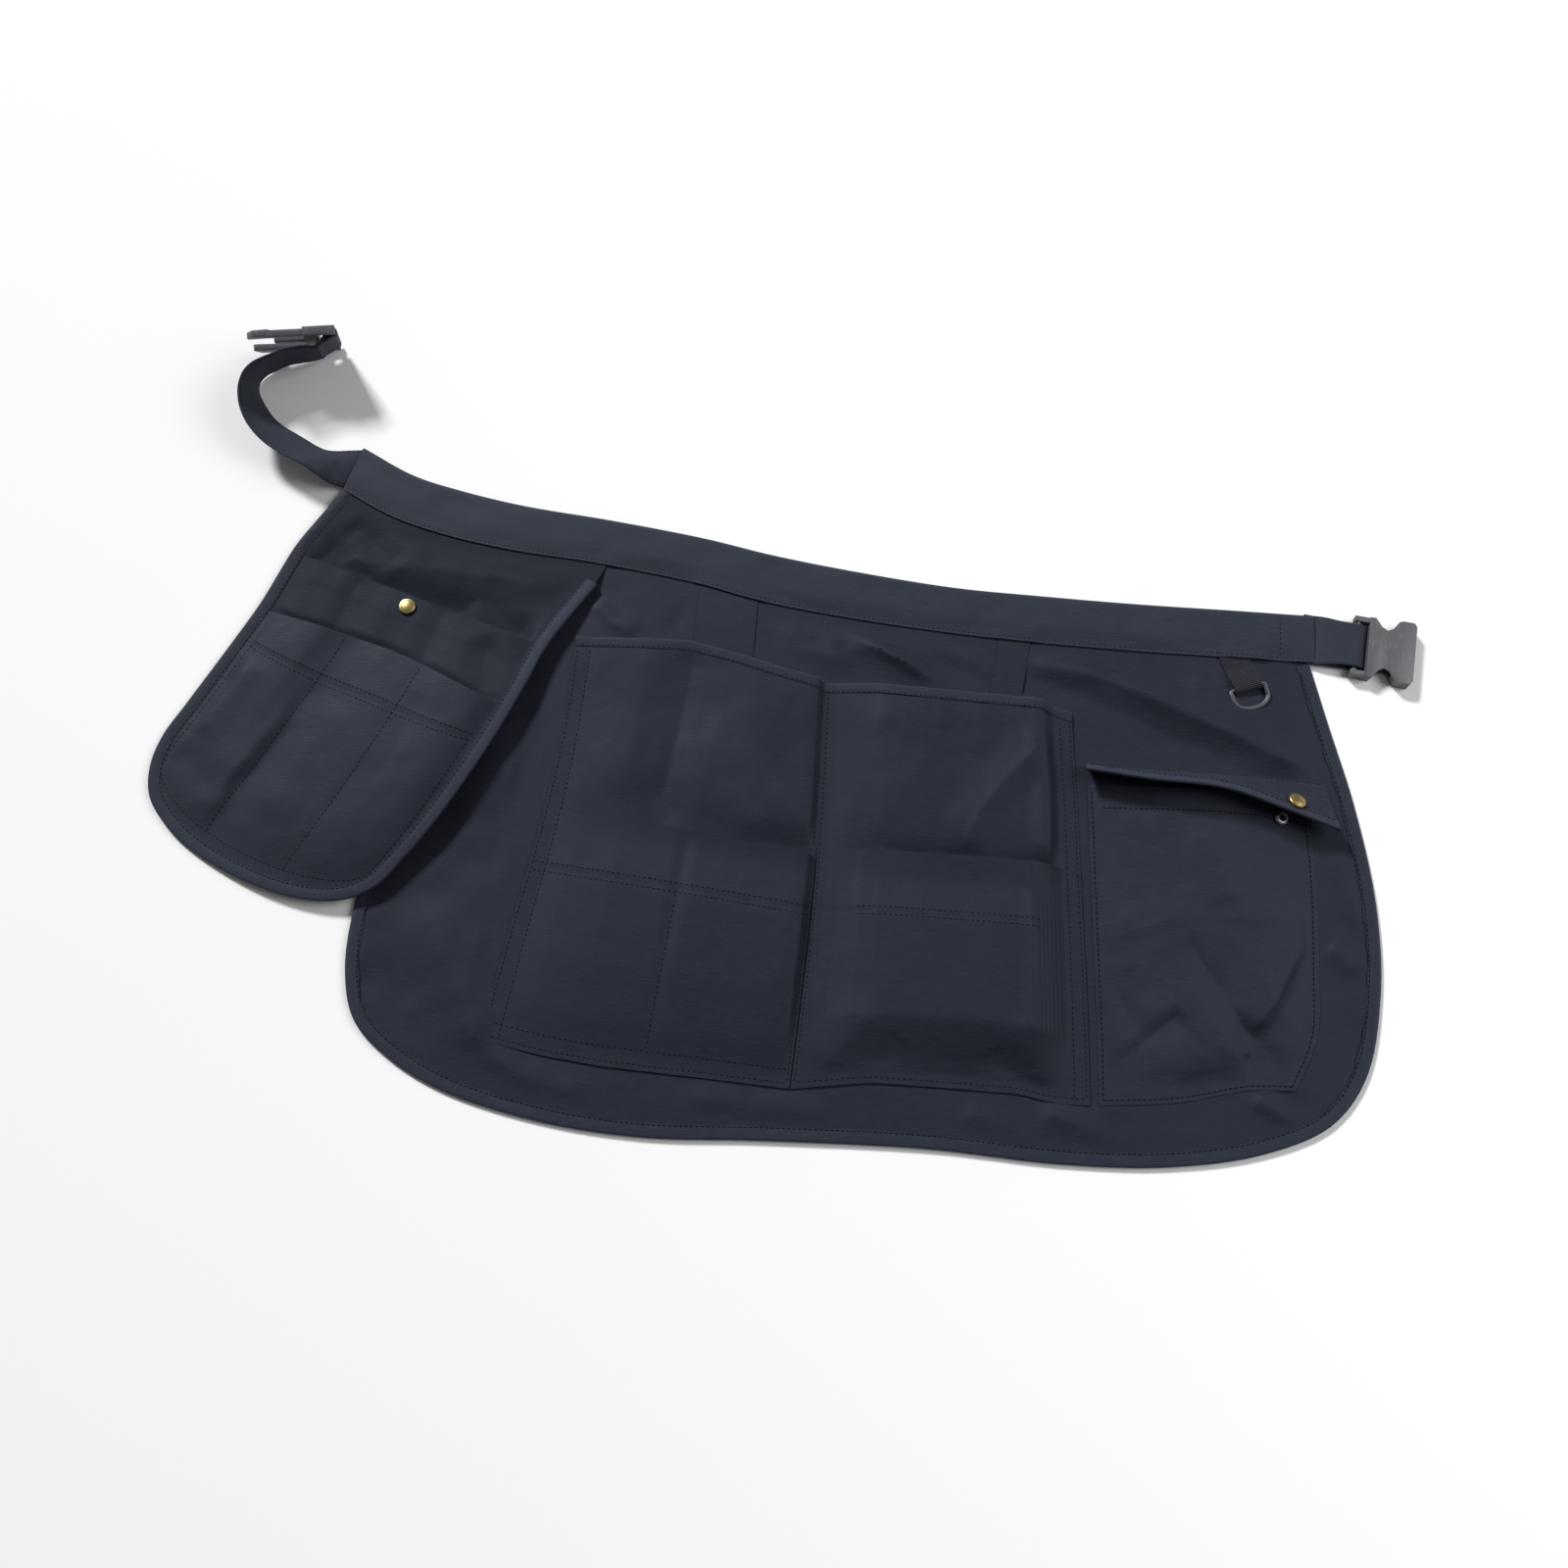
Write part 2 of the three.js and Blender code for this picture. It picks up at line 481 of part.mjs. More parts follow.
function plate(corners, fromZ, toZ) {
  const shape = new THREE.Shape(corners.map(([x, y]) => new THREE.Vector2(x, y)));
  const geometry = new THREE.ExtrudeGeometry(shape, { depth: toZ - fromZ, bevelEnabled: false });
  return geometry.translate(0, 0, fromZ);
}

function lathed(rows, sides) {
  const profile = rows.map((row) => new THREE.Vector2(row.r, row.z));
  return geometryOf(solidOf(new THREE.LatheGeometry(profile, sides).rotateX(Math.PI / 2)));
}

// A bar of round section along Y
function bar(radius, half) {
  return new THREE.CylinderGeometry(radius, radius, 2 * half, 14);
}

const apron = new THREE.Group();

function place(name, geometry, material, group = apron) {
  const mesh = new THREE.Mesh(geometry, material);
  mesh.name = name;
  group.add(mesh);
  return mesh;
}

// Waistband and panel

const bandLow = curve(BAND.map((row) => ({ x: row.lowX, y: row.lowY })));
const bandTop = curve(BAND.map((row) => ({ x: row.topX, y: row.topY })));

function buildWaistband() {
  const stations = evenly(BAND_STEPS).map((t) => {
    const fold = bandTop.getPoint(t);
    const down = bandLow.getPoint(t).sub(fold);
    return { at: fold, inward: down.divideScalar(36), up: UP };
  });
  place('waistband', sweep(stations, foldedSection(36, BAND_SLOT, BAND_WALL)), BAND_CLOTH);
}

const hem = curve(HEM);
const hemInset = BINDING_WALL + GAP;

function buildPanel() {
  const count = 12;
  const leftCorner = new THREE.Vector3(PANEL_CORNERS.leftX, PANEL_CORNERS.leftY, 0);
  const rightCorner = new THREE.Vector3(PANEL_CORNERS.rightX, PANEL_CORNERS.rightY, 0);
  const left = edgeStretch(hem, 0, HEM_LEFT_END, hemInset, count, { before: [leftCorner] });
  const bottom = edgeStretch(hem, HEM_LEFT_END, HEM_RIGHT_START, hemInset, 4 * count);
  const up = edgeStretch(hem, HEM_RIGHT_START, 1, hemInset, count, { after: [rightCorner] });
  const right = new THREE.CatmullRomCurve3([...up.points].reverse());
  const inside = evenly(count).slice(1, -1).map((share) => {
    const t = THREE.MathUtils.lerp(0.28, 0.97, share);
    const seam = bandLow.getPoint(t);
    return seam.addScaledVector(bandTop.getPoint(t).sub(seam).normalize(), BAND_TUCK);
  });
  const top = new THREE.CatmullRomCurve3([leftCorner, ...inside, rightCorner]);
  const plan = patch(top, bottom, left, right);
  const lower = (u, v) => {
    const point = plan(u, v);
    return point.setZ(PANEL_LOW + folds(PANEL_FOLDS, point.x, point.y));
  };
  place('apron_panel', sheet(lower, evenly(PANEL_COLUMNS), PANEL_ROWS, PANEL_WALL), PANEL_CLOTH);
}

function buildHemBinding() {
  const stations = evenly(HEM_STEPS).map((t) => {
    const along = hem.getTangent(t);
    return { at: hem.getPoint(t), inward: new THREE.Vector3(-along.y, along.x, 0).normalize(), up: UP };
  });
  const section = foldedSection(BINDING_LEG, BINDING_SLOT, BINDING_WALL);
  place('hem_binding', sweep(stations, section), BINDING_TAPE);
}

function buildTabs() {
  for (const tab of TABS) {
    const lower = (u, v) => {
      const y = THREE.MathUtils.lerp(tab.top + TAB_TUCK, tab.bottom, v);
      return new THREE.Vector3(tab.x + (u - 0.5) * tab.width + tab.lean * (tab.top - y), y, ON_PANEL);
    };
    place(tab.name, sheet(lower, evenly(2), evenly(3), PANEL_WALL), BAND_CLOTH);
  }
}

// Side pouch

const pouchEdge = curve(POUCH);

function pouchLow(x, y) {
  const leftX = POUCH_SIDES.leftX + (y - POUCH_SIDES.leftY) * POUCH_SIDES.leftLean;
  const rightX = POUCH_SIDES.rightX + (y - POUCH_SIDES.rightY) * POUCH_SIDES.rightLean;
  const share = THREE.MathUtils.smoothstep((x - leftX) / (rightX - leftX), POUCH_LIFT_FROM, 1.1);
  return between(POUCH_BASE, y) + between(POUCH_LIFT, y) * share;
}

function onPouch(plan, height) {
  return (u, v) => {
    const point = plan(u, v);
    return point.setZ(pouchLow(point.x, point.y) + height(u, v));
  };
}

function buildPouch() {
  const count = 10;
  const leftCorner = new THREE.Vector3(POUCH_CORNERS.leftX, POUCH_CORNERS.leftY, 0);
  const rightCorner = new THREE.Vector3(POUCH_CORNERS.rightX, POUCH_CORNERS.rightY, 0);
  const left = edgeStretch(pouchEdge, 0, POUCH_LEFT_END, POUCH_INSET, count, { before: [leftCorner] });
  const bottom = edgeStretch(pouchEdge, POUCH_LEFT_END, POUCH_RIGHT_START, POUCH_INSET, count);
  const up = edgeStretch(pouchEdge, POUCH_RIGHT_START, 1, POUCH_INSET, count, { after: [rightCorner] });
  const right = new THREE.CatmullRomCurve3([...up.points].reverse());
  const inside = [0.07, 0.13, 0.19, 0.25].map((t) => {
    const seam = bandLow.getPoint(t);
    return seam.addScaledVector(bandTop.getPoint(t).sub(seam).normalize(), BAND_TUCK);
  });
  const top = new THREE.CatmullRomCurve3([leftCorner, ...inside, rightCorner]);
  const lower = onPouch(patch(top, bottom, left, right), () => 0);
  place('pouch_panel', sheet(lower, POUCH_COLUMNS, POUCH_ROWS, PANEL_WALL), POCKET_CLOTH);
}

function buildPouchBinding() {
  const stations = evenly(POUCH_STEPS).map((t) => {
    const along = pouchEdge.getTangent(t);
    const inward = new THREE.Vector3(-along.y, along.x, 0).normalize();
    const edge = pouchEdge.getPoint(t);
    const inner = edge.clone().addScaledVector(inward, BINDING_LEG);
    const low = pouchLow(edge.x, edge.y);
    inward.setZ((pouchLow(inner.x, inner.y) - low) / BINDING_LEG);
    return { at: edge.setZ(low - POUCH_GAP - BINDING_WALL), inward, up: UP };
  });
  const section = foldedSection(BINDING_LEG, PANEL_WALL + 2 * POUCH_GAP, BINDING_WALL);
  place('pouch_binding', sweep(stations, section), BINDING_TAPE);
}

function buildPouchPockets() {
  const count = 8;
  const left = edgeStretch(pouchEdge, TIER_LEFT.from, TIER_LEFT.to, TIER_INSET, count);
  const bottom = edgeStretch(pouchEdge, TIER_LEFT.to, TIER_RIGHT.from, TIER_INSET, count);
  const up = edgeStretch(pouchEdge, TIER_RIGHT.from, TIER_RIGHT.to, TIER_INSET, count);
  const right = new THREE.CatmullRomCurve3([...up.points].reverse());
  const top = new THREE.LineCurve3(left.getPoint(0), right.getPoint(0));
  const plan = patch(top, bottom, left, right);
  const first = (u, v) => {
    const bulge = TIER_BULGE * between(TIER_ACROSS, u) * between(TIER_DOWN, v);
    return PANEL_WALL + POUCH_GAP + bulge;
  };
  const second = (u, v) => {
    const bulge = TIER_BULGE * between(LOW_TIER_ACROSS, u) * between(TIER_DOWN, v);
    return first(u, v) + STACK + GAP + bulge;
  };
  const lowRows = TIER_ROWS.slice(LOW_TIER_FIRST_ROW);
  const arched = (u, v) => {
    const share = Math.max(0, (LOW_TIER_ARCH.until - v) / (LOW_TIER_ARCH.until - lowRows[0]));
    return v - LOW_TIER_ARCH.rise * Math.sin(Math.PI * u) * share;
  };
  const upper = onPouch(plan, first);
  const lower = (u, v) => onPouch(plan, second)(u, arched(u, v));
  place('pouch_upper_pocket', sheet(upper, TIER_COLUMNS, TIER_ROWS, POCKET_WALL), POCKET_CLOTH);
  for (const part of LOW_TIER_PARTS) {
    const columns = TIER_COLUMNS.filter((u) => u >= part.from && u <= part.to);
    if (part.from > 0) {
      columns[0] += LOW_TIER_SEAM;
    }
    if (part.to < 1) {
      columns[columns.length - 1] -= LOW_TIER_SEAM;
    }
    place(part.name, sheet(lower, columns, lowRows, POCKET_WALL), POCKET_CLOTH);
  }
  const seat = upper(POUCH_SNAP.u, POUCH_SNAP.v).addScaledVector(UP, POCKET_WALL);
  const across = upper(POUCH_SNAP.u + 0.03, POUCH_SNAP.v).sub(upper(POUCH_SNAP.u - 0.03, POUCH_SNAP.v));
  const down = upper(POUCH_SNAP.u, POUCH_SNAP.v + 0.04).sub(upper(POUCH_SNAP.u, POUCH_SNAP.v - 0.04));
  placeSnap('pouch_snap', SNAP_CAP, seat, down.cross(across).normalize());
}

function placeSnap(name, rows, seat, normal) {
  const mesh = place(name, lathed(rows, SNAP_SIDES), BRASS);
  mesh.quaternion.setFromUnitVectors(UP, normal);
  mesh.position.copy(seat).addScaledVector(normal, GAP + 0.1);
}

// Centre pocket and the two pockets on it

const centreLeft = curve(CENTRE_LEFT);
const centreMid = curve(CENTRE_MID);
const centreRight = curve(CENTRE_RIGHT);

function centrePlan(u, v) {
  const half = u < 0.5 ? [centreLeft, centreMid] : [centreMid, centreRight];
  const share = u < 0.5 ? 2 * u : 2 * u - 1;
  const point = half[0].getPoint(v).lerp(half[1].getPoint(v), share);
  point.y += between(CENTRE_MOUTH, u) * (1 - v) ** 3 + between(CENTRE_BOTTOM, u) * v ** 3;
  return point;
}

function centreLow(u, v) {
  const bulge = CENTRE_BULGE * between(CENTRE_ACROSS, u) * between(CENTRE_DOWN, v);
  return centrePlan(u, v).setZ(ON_PANEL + between(CENTRE_MOUTH_LIFT, v) + bulge);
}

function lowLeft(u, v) {
  const bulge = LOW_LEFT_BULGE * between(LOW_LEFT_ACROSS, u) * between(CENTRE_DOWN, v);
  return centreLow(u, v).addScaledVector(UP, STACK + bulge);
}

function lowRight(u, v) {
  const bulge = LOW_RIGHT_BULGE * between(LOW_RIGHT_ACROSS, u) * between(LOW_RIGHT_DOWN, v);
  return centreLow(u, v).addScaledVector(UP, STACK + bulge);
}

function buildCentrePockets() {
  const lowRows = CENTRE_ROWS.slice(CENTRE_LOW_FIRST_ROW);
  place('centre_pocket', sheet(centreLow, CENTRE_COLUMNS, CENTRE_ROWS, POCKET_WALL), POCKET_CLOTH);
  const leftColumns = [...CENTRE_LEFT_COLUMNS.slice(0, -1), 0.5 - LOW_SEAM_SHARE];
  place('centre_low_left', sheet(lowLeft, leftColumns, lowRows, POCKET_WALL), POCKET_CLOTH);
  const rightColumns = [0.5 + LOW_SEAM_SHARE, ...CENTRE_RIGHT_COLUMNS.slice(1)];
  const rightRows = [LOW_RIGHT_MOUTH, ...lowRows.slice(1)];
  place('centre_low_right', sheet(lowRight, rightColumns, rightRows, POCKET_WALL), POCKET_CLOTH);
  const stations = CENTRE_COLUMNS.map((u) => {
    const mouth = centreLow(u, 0);
    const inward = centreLow(u, CENTRE_ROWS[1]).sub(mouth);
    inward.divideScalar(Math.hypot(inward.x, inward.y));
    const at = mouth.addScaledVector(inward, -BINDING_WALL - GAP).addScaledVector(UP, -BINDING_WALL - GAP);
    return { at, inward, up: UP };
  });
  const section = foldedSection(MOUTH_BINDING_LEG, POCKET_WALL + 2 * GAP, BINDING_WALL);
  place('centre_mouth_binding', sweep(stations, section), BINDING_TAPE);
}

// Flap pocket and flap

const flapPocketPlan = patch(
  curve(FLAP_POCKET_TOP), curve(FLAP_POCKET_BOTTOM), curve(FLAP_POCKET_LEFT), curve(FLAP_POCKET_RIGHT),
);

function flapPocketLow(u, v) {
  const point = flapPocketPlan(u, v);
  const share = between(FLAP_POCKET_ACROSS, u) * between(FLAP_POCKET_DOWN, v);
  const fold = folds(FLAP_POCKET_FOLDS, point.x, point.y) * Math.min(1, 3 * share);
  return point.setZ(ON_PANEL + FLAP_POCKET_BULGE * share + fold);
}

const flapSeam = curve(FLAP_SEAM);
const flapEdge = curve(FLAP_EDGE);

function flapMiddle(u, v) {
  const point = flapSeam.getPointAt(u).lerp(flapEdge.getPointAt(u), v);
  const bow = FLAP_BOW * Math.sin(Math.PI * v);
  return point.add(new THREE.Vector3(0, 0.55 * bow, 0.85 * bow + PANEL_WALL));
}

function flapNormal(u, v) {
  const step = 0.01;
  const across = flapMiddle(Math.min(u + step, 1), v).sub(flapMiddle(Math.max(u - step, 0), v));
  const down = flapMiddle(u, v + step).sub(flapMiddle(u, v - step));
  return down.cross(across).normalize();
}

function buildFlapPocket() {
  const wall = sheet(flapPocketLow, FLAP_POCKET_COLUMNS, FLAP_POCKET_ROWS, POCKET_WALL);
  place('flap_pocket', wall, POCKET_CLOTH);
  const seat = flapPocketLow(SOCKET_AT.u, SOCKET_AT.v).addScaledVector(UP, POCKET_WALL + 0.5);
  placeSnap('snap_socket', SNAP_SOCKET, seat, new THREE.Vector3(0.25, 0, 1).normalize());
}

function buildFlap() {
  const face = (side) => (u, v) => flapMiddle(u, v).addScaledVector(flapNormal(u, v), side * PANEL_WALL / 2);
  const columns = evenly(FLAP_COLUMNS);
  place('flap', wallBetween(face(-1), face(1), columns, FLAP_ROWS), POCKET_CLOTH);
  const stations = columns.map((u) => {
    const up = flapNormal(u, 1);
    const edge = flapMiddle(u, 1);
    const inward = flapMiddle(u, 0.8).sub(edge).normalize();
    const at = edge.addScaledVector(inward, -BINDING_WALL - GAP);
    return { at: at.addScaledVector(up, -PANEL_WALL / 2 - FLAP_GAP - BINDING_WALL), inward, up };
  });
  const section = foldedSection(MOUTH_BINDING_LEG, PANEL_WALL + 2 * FLAP_GAP, BINDING_WALL);
  place('flap_binding', sweep(stations, section), BINDING_TAPE);
  const normal = flapNormal(FLAP_SNAP_AT.u, FLAP_SNAP_AT.v);
  const onBinding = PANEL_WALL / 2 + FLAP_GAP + BINDING_WALL;
  const seat = flapMiddle(FLAP_SNAP_AT.u, FLAP_SNAP_AT.v).addScaledVector(normal, onBinding);
  placeSnap('flap_snap', SNAP_CAP, seat, normal);
}

// Straps, buckles and ring

// A loop of strap around a bar at the origin: its neck reaches to -X, its width is along Y
function strapLoop(radius, wall, neck, tail, width) {
  const around = (r) => evenly(12).map((share) => {
    const angle = THREE.MathUtils.lerp(-100, 100, share) * THREE.MathUtils.DEG2RAD;
    return new THREE.Vector2(r * Math.cos(angle), r * Math.sin(angle));
  });
  const half = wall * 0.55;
  const outer = [...around(radius + wall), new THREE.Vector2(-neck, 2 * half)];
  outer.push(new THREE.Vector2(-neck - tail, 2 * half), new THREE.Vector2(-neck - tail, -2 * half));
  outer.push(new THREE.Vector2(-neck, -2 * half));
  const shape = new THREE.Shape(outer);
  shape.holes.push(new THREE.Path([...around(radius), new THREE.Vector2(-neck + 3, 0)]));
  const geometry = new THREE.ExtrudeGeometry(shape, { depth: width, bevelEnabled: false });
  return geometry.translate(0, 0, -width / 2).rotateX(Math.PI / 2);
}

function turned(heading) {
  return heading * THREE.MathUtils.DEG2RAD;
}

const malePose = new THREE.Object3D();
malePose.rotation.set(turned(MALE_TURN.roll), turned(-MALE_TURN.pitch), turned(MALE_TURN.heading), 'ZYX');
malePose.position.set(MALE.x, MALE.y, MALE.z);
malePose.updateMatrix();

function buildLeftStrap() {
  const path = curve(STRAP);
  const turns = curve(STRAP.map((row) => ({ x: row.turn, y: row.side })));
  const stations = evenly(STRAP_STEPS).map((t) => {
    const { x: turn, y: side } = turns.getPoint(t).multiplyScalar(THREE.MathUtils.DEG2RAD);
    const reach = Math.cos(turn);
    const inward = new THREE.Vector3(reach * Math.cos(side), reach * Math.sin(side), Math.sin(turn));
    return { at: path.getPoint(t), inward, up: path.getTangent(t).cross(inward).normalize() };
  });
  const through = STRAP_WALL / 2;
  const section = [
    { inward: 0, up: -through }, { inward: STRAP_WIDTH, up: -through },
    { inward: STRAP_WIDTH, up: through }, { inward: 0, up: through },
  ];
  const loop = strapLoop(LOOP_RADIUS, LOOP_WALL, LOOP_NECK - 4, 5, STRAP_WIDTH);
  loop.rotateY(Math.PI + turned(MALE_TURN.fromStrap)).applyMatrix4(malePose.matrix);
  const ribbon = solidOf(sweep(stations, section));
  place('strap_left', geometryOf(ribbon.add(solidOf(loop))), WEBBING);
}

// Buckle halves lie flat along X with their bar on the Y axis
function railsAndBar(reach, thick) {
  let frame = solidOf(bar(BAR_RADIUS, BUCKLE_INNER + 1));
  for (const side of [-1, 1]) {
    const fromY = side > 0 ? BUCKLE_INNER : -BUCKLE_HALF;
    const rail = box(-BAR_RADIUS - 0.6, reach + 1, fromY, fromY + BUCKLE_HALF - BUCKLE_INNER, -thick, thick);
    frame = frame.add(solidOf(rail));
  }
  return frame;
}

function buildMaleBuckle() {
  const half = MALE.thick / 2;
  const { end, neck, head, guide, guideEnd } = MALE_PRONG;
  const prong = (side) => [
    [MALE.base - 1, side * (BUCKLE_INNER + 1.5)], [end - 18, side * (BUCKLE_INNER + 1.5)],
    [end - 15, side * BUCKLE_HALF], [end - 5, side * (BUCKLE_HALF - 1)],
    [end, side * (BUCKLE_HALF - head + 2)],
    [end - 1, side * (BUCKLE_HALF - head)], [end - 14, side * (BUCKLE_HALF - head + 1)],
    [end - 20, side * (BUCKLE_INNER + 1.5 - neck)], [MALE.base - 1, side * (BUCKLE_INNER + 1.5 - neck)],
  ];
  let body = railsAndBar(MALE.body, half);
  body = body.add(solidOf(box(MALE.body, MALE.base, -BUCKLE_HALF, BUCKLE_HALF, -half, half)));
  body = body.add(solidOf(box(MALE.base - 1, guideEnd, -guide, guide, -half + 1.5, half - 1.5)));
  body = body.add(solidOf(plate(prong(1), -half + 0.8, half - 0.8)));
  body = body.add(solidOf(plate(prong(-1).reverse(), -half + 0.8, half - 0.8)));
  const mesh = place('male_buckle', geometryOf(body), PLASTIC);
  mesh.quaternion.copy(malePose.quaternion);
  mesh.position.copy(malePose.position);
}

function buildFemaleBuckle() {
  const half = FEMALE.thick / 2;
  const { start, end } = FEMALE;
  const { waist, mouth } = FEMALE_SIDE;
  const side = [
    [start, BUCKLE_HALF], [start + 4, BUCKLE_HALF], [start + 9, waist + 2], [start + 13, waist],
    [start + 17, waist + 2], [start + 21, mouth - 1], [start + 24, mouth], [end - 2, mouth],
    [end, mouth - 3],
  ];
  const outline = [...side.map(([x, y]) => [x, -y]), ...[...side].reverse()];
  let body = solidOf(plate(outline, -half, half)).add(railsAndBar(start, RAIL_HEIGHT / 2));
  const hollow = { half: SOCKET.half, top: SOCKET.height / 2 };
  const socket = box(end - SOCKET.depth, end + 5, -hollow.half, hollow.half, -hollow.top, hollow.top);
  body = body.subtract(solidOf(socket));
  const mesh = place('female_buckle', geometryOf(body), PLASTIC);
  mesh.rotation.z = turned(FEMALE.heading);
  mesh.position.set(FEMALE.x, FEMALE.y, FEMALE.z);
}

function buildRightTab() {
  const { loopBack, tuck, tail } = RIGHT_TAB;
  const loop = strapLoop(LOOP_RADIUS, LOOP_WALL, LOOP_NECK, 1, STRAP_WIDTH);
  const low = ON_PANEL - FEMALE.z;
  const slope = [
    { inward: -LOOP_NECK + 0.5, up: -LOOP_WALL }, { inward: -LOOP_NECK + 0.5, up: LOOP_WALL },
    { inward: -loopBack + 3, up: low + tail }, { inward: -loopBack - tuck, up: low + tail },
    { inward: -loopBack - tuck, up: low }, { inward: -loopBack + 3, up: low },
  ];
  const ends = [-STRAP_WIDTH / 2, STRAP_WIDTH / 2].map((y) => (
    { at: new THREE.Vector3(0, y, 0), inward: new THREE.Vector3(1, 0, 0), up: UP }
  ));
  const whole = solidOf(loop).add(solidOf(sweep(ends, slope)));
  const mesh = place('strap_right', geometryOf(whole), WEBBING);
  mesh.rotation.z = turned(FEMALE.heading);
  mesh.position.set(FEMALE.x, FEMALE.y, FEMALE.z);
}

function buildRing() {
  const half = RING.inner / 2 + RING_BAR_RADIUS;
  const bow = new THREE.CurvePath();
  const corner = RING.depth * 0.45;
  const at = (x, y) => new THREE.Vector3(x, y, 0);
  bow.add(new THREE.LineCurve3(at(0, half), at(corner, half)));
  bow.add(new THREE.CubicBezierCurve3(
    at(corner, half), at(RING.depth * 1.25, half), at(RING.depth * 1.25, -half), at(corner, -half),
  ));
  bow.add(new THREE.LineCurve3(at(corner, -half), at(0, -half)));
  const circle = new THREE.Shape().absarc(0, 0, RING_BAR_RADIUS, 0, 2 * Math.PI, false);
  const rod = { steps: 20, curveSegments: 5, extrudePath: bow, bevelEnabled: false };
  const ring = solidOf(new THREE.ExtrudeGeometry(circle, rod));
  const straight = solidOf(bar(RING_BAR_RADIUS, half + RING_BAR_RADIUS));
  const mesh = place('d_ring', geometryOf(ring.add(straight)), PLASTIC);
  mesh.rotation.set(0, turned(RING.settle), turned(RING.heading), 'ZYX');
  mesh.position.set(RING.x, RING.y, RING.z);
}

function buildRingWebbing() {
  const { width, wall, neck, tail } = RING_WEB;
  const loop = strapLoop(RING_BAR_RADIUS + GAP, wall, neck, 1, width);
  const low = ON_PANEL - RING.z;
  const slope = [
    { inward: -neck + 0.5, up: -wall }, { inward: -neck + 0.5, up: wall },
    { inward: -neck - 6, up: low + wall }, { inward: -neck - tail, up: low + wall },
    { inward: -neck - tail, up: low }, { inward: -neck - 6, up: low },
  ];
  const ends = [-width / 2, width / 2].map((y) => (
    { at: new THREE.Vector3(0, y, 0), inward: new THREE.Vector3(1, 0, 0), up: UP }
  ));
  const whole = solidOf(loop).add(solidOf(sweep(ends, slope)));
  const mesh = place('ring_webbing', geometryOf(whole), WEBBING);
  mesh.rotation.z = turned(RING.heading);
  mesh.position.set(RING.x, RING.y, RING.z);
}

buildWaistband();
buildPanel();
buildHemBinding();
buildTabs();
buildPouch();
buildPouchBinding();
buildPouchPockets();
buildCentrePockets();
buildFlapPocket();
buildFlap();
buildLeftStrap();
buildMaleBuckle();
buildRightTab();
buildFemaleBuckle();
buildRingWebbing();
buildRing();

apron.position.set(-MIDDLE.x, -MIDDLE.y, 0);
const waistApron = new THREE.Group();
waistApron.add(apron);

export default waistApron;
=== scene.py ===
"""Dresses a hairdresser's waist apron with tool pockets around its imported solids.

The apron lies on its back with its front up. Plan sizes are millimetres: +X along the waistband to the
viewer's right, +Y from the hem to the waistband and +Z out of the front. Finished meshes are metres in the
solids' frame.
"""

import logging
import math
from dataclasses import dataclass
from enum import Enum
from typing import Callable, Sequence

import bmesh
import bpy
import numpy as np
from mathutils import Matrix, Vector

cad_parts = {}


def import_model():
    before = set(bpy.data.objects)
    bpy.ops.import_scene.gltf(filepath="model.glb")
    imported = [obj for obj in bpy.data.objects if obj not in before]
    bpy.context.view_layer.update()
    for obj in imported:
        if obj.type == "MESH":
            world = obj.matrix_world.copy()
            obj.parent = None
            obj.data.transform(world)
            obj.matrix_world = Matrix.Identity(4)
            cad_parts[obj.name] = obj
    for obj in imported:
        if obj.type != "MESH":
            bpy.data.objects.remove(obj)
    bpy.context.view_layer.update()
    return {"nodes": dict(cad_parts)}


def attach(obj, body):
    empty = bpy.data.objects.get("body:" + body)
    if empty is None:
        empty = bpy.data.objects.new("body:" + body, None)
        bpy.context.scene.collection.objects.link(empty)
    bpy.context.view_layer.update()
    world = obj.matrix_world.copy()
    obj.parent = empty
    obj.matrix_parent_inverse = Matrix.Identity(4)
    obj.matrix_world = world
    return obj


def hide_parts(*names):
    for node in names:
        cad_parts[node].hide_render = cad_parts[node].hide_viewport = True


LOG = logging.getLogger("waist_apron")

Array = np.ndarray
Face = Callable[[Array, Array], Array]
Line = tuple[Array, Array]
Rows = Sequence[Sequence[float]]
Colour = tuple[float, float, float]
Mesh = bmesh.types.BMesh
Object = bpy.types.Object
Material = bpy.types.Material
Socket = bpy.types.NodeSocket

MM = 0.001
PLAN_TO_FRAME = np.array([5.44, -24.71, 0.0])
UP = np.array([0.0, 0.0, 1.0])
ALONG_BAR = np.array([0.0, 1.0, 0.0])
SAME_PLACE = 1e-6

# Heights and walls that several pieces share
PANEL_TOP = 2.3
PANEL_WALL = 1.0
ON_PANEL = 2.4
WALL = 0.45
STACK = 0.75


class Body(Enum):
    """The moving bodies of the frame."""

    APRON = "apron"
    RING = "ring"
    SOCKET = "buckle_socket"
    PLUG = "buckle_plug"


class Slot(Enum):
    """The record's material slots."""

    PANEL = "panel_cloth"
    POCKET = "pocket_cloth"
    BAND = "band_cloth"
    TAPE = "binding_tape"
    WEBBING = "webbing"
    PLASTIC = "plastic"
    BRASS = "brass"


class Weave(Enum):
    """How the yarns lie on a piece: square to the apron, or along the piece's own length."""

    PLAN = "plan"
    LENGTH = "length"


# Curves, tables and folds


def smooth_share(value: Array, low: float, high: float) -> Array:
    """Eases values from 0 at low to 1 at high."""
    share = np.clip((np.asarray(value, float) - low) / (high - low), 0.0, 1.0)
    return share * share * (3.0 - 2.0 * share)


def unit(vectors: Array) -> Array:
    """Vectors brought to a length of 1."""
    return vectors / np.linalg.norm(vectors, axis=-1, keepdims=True)


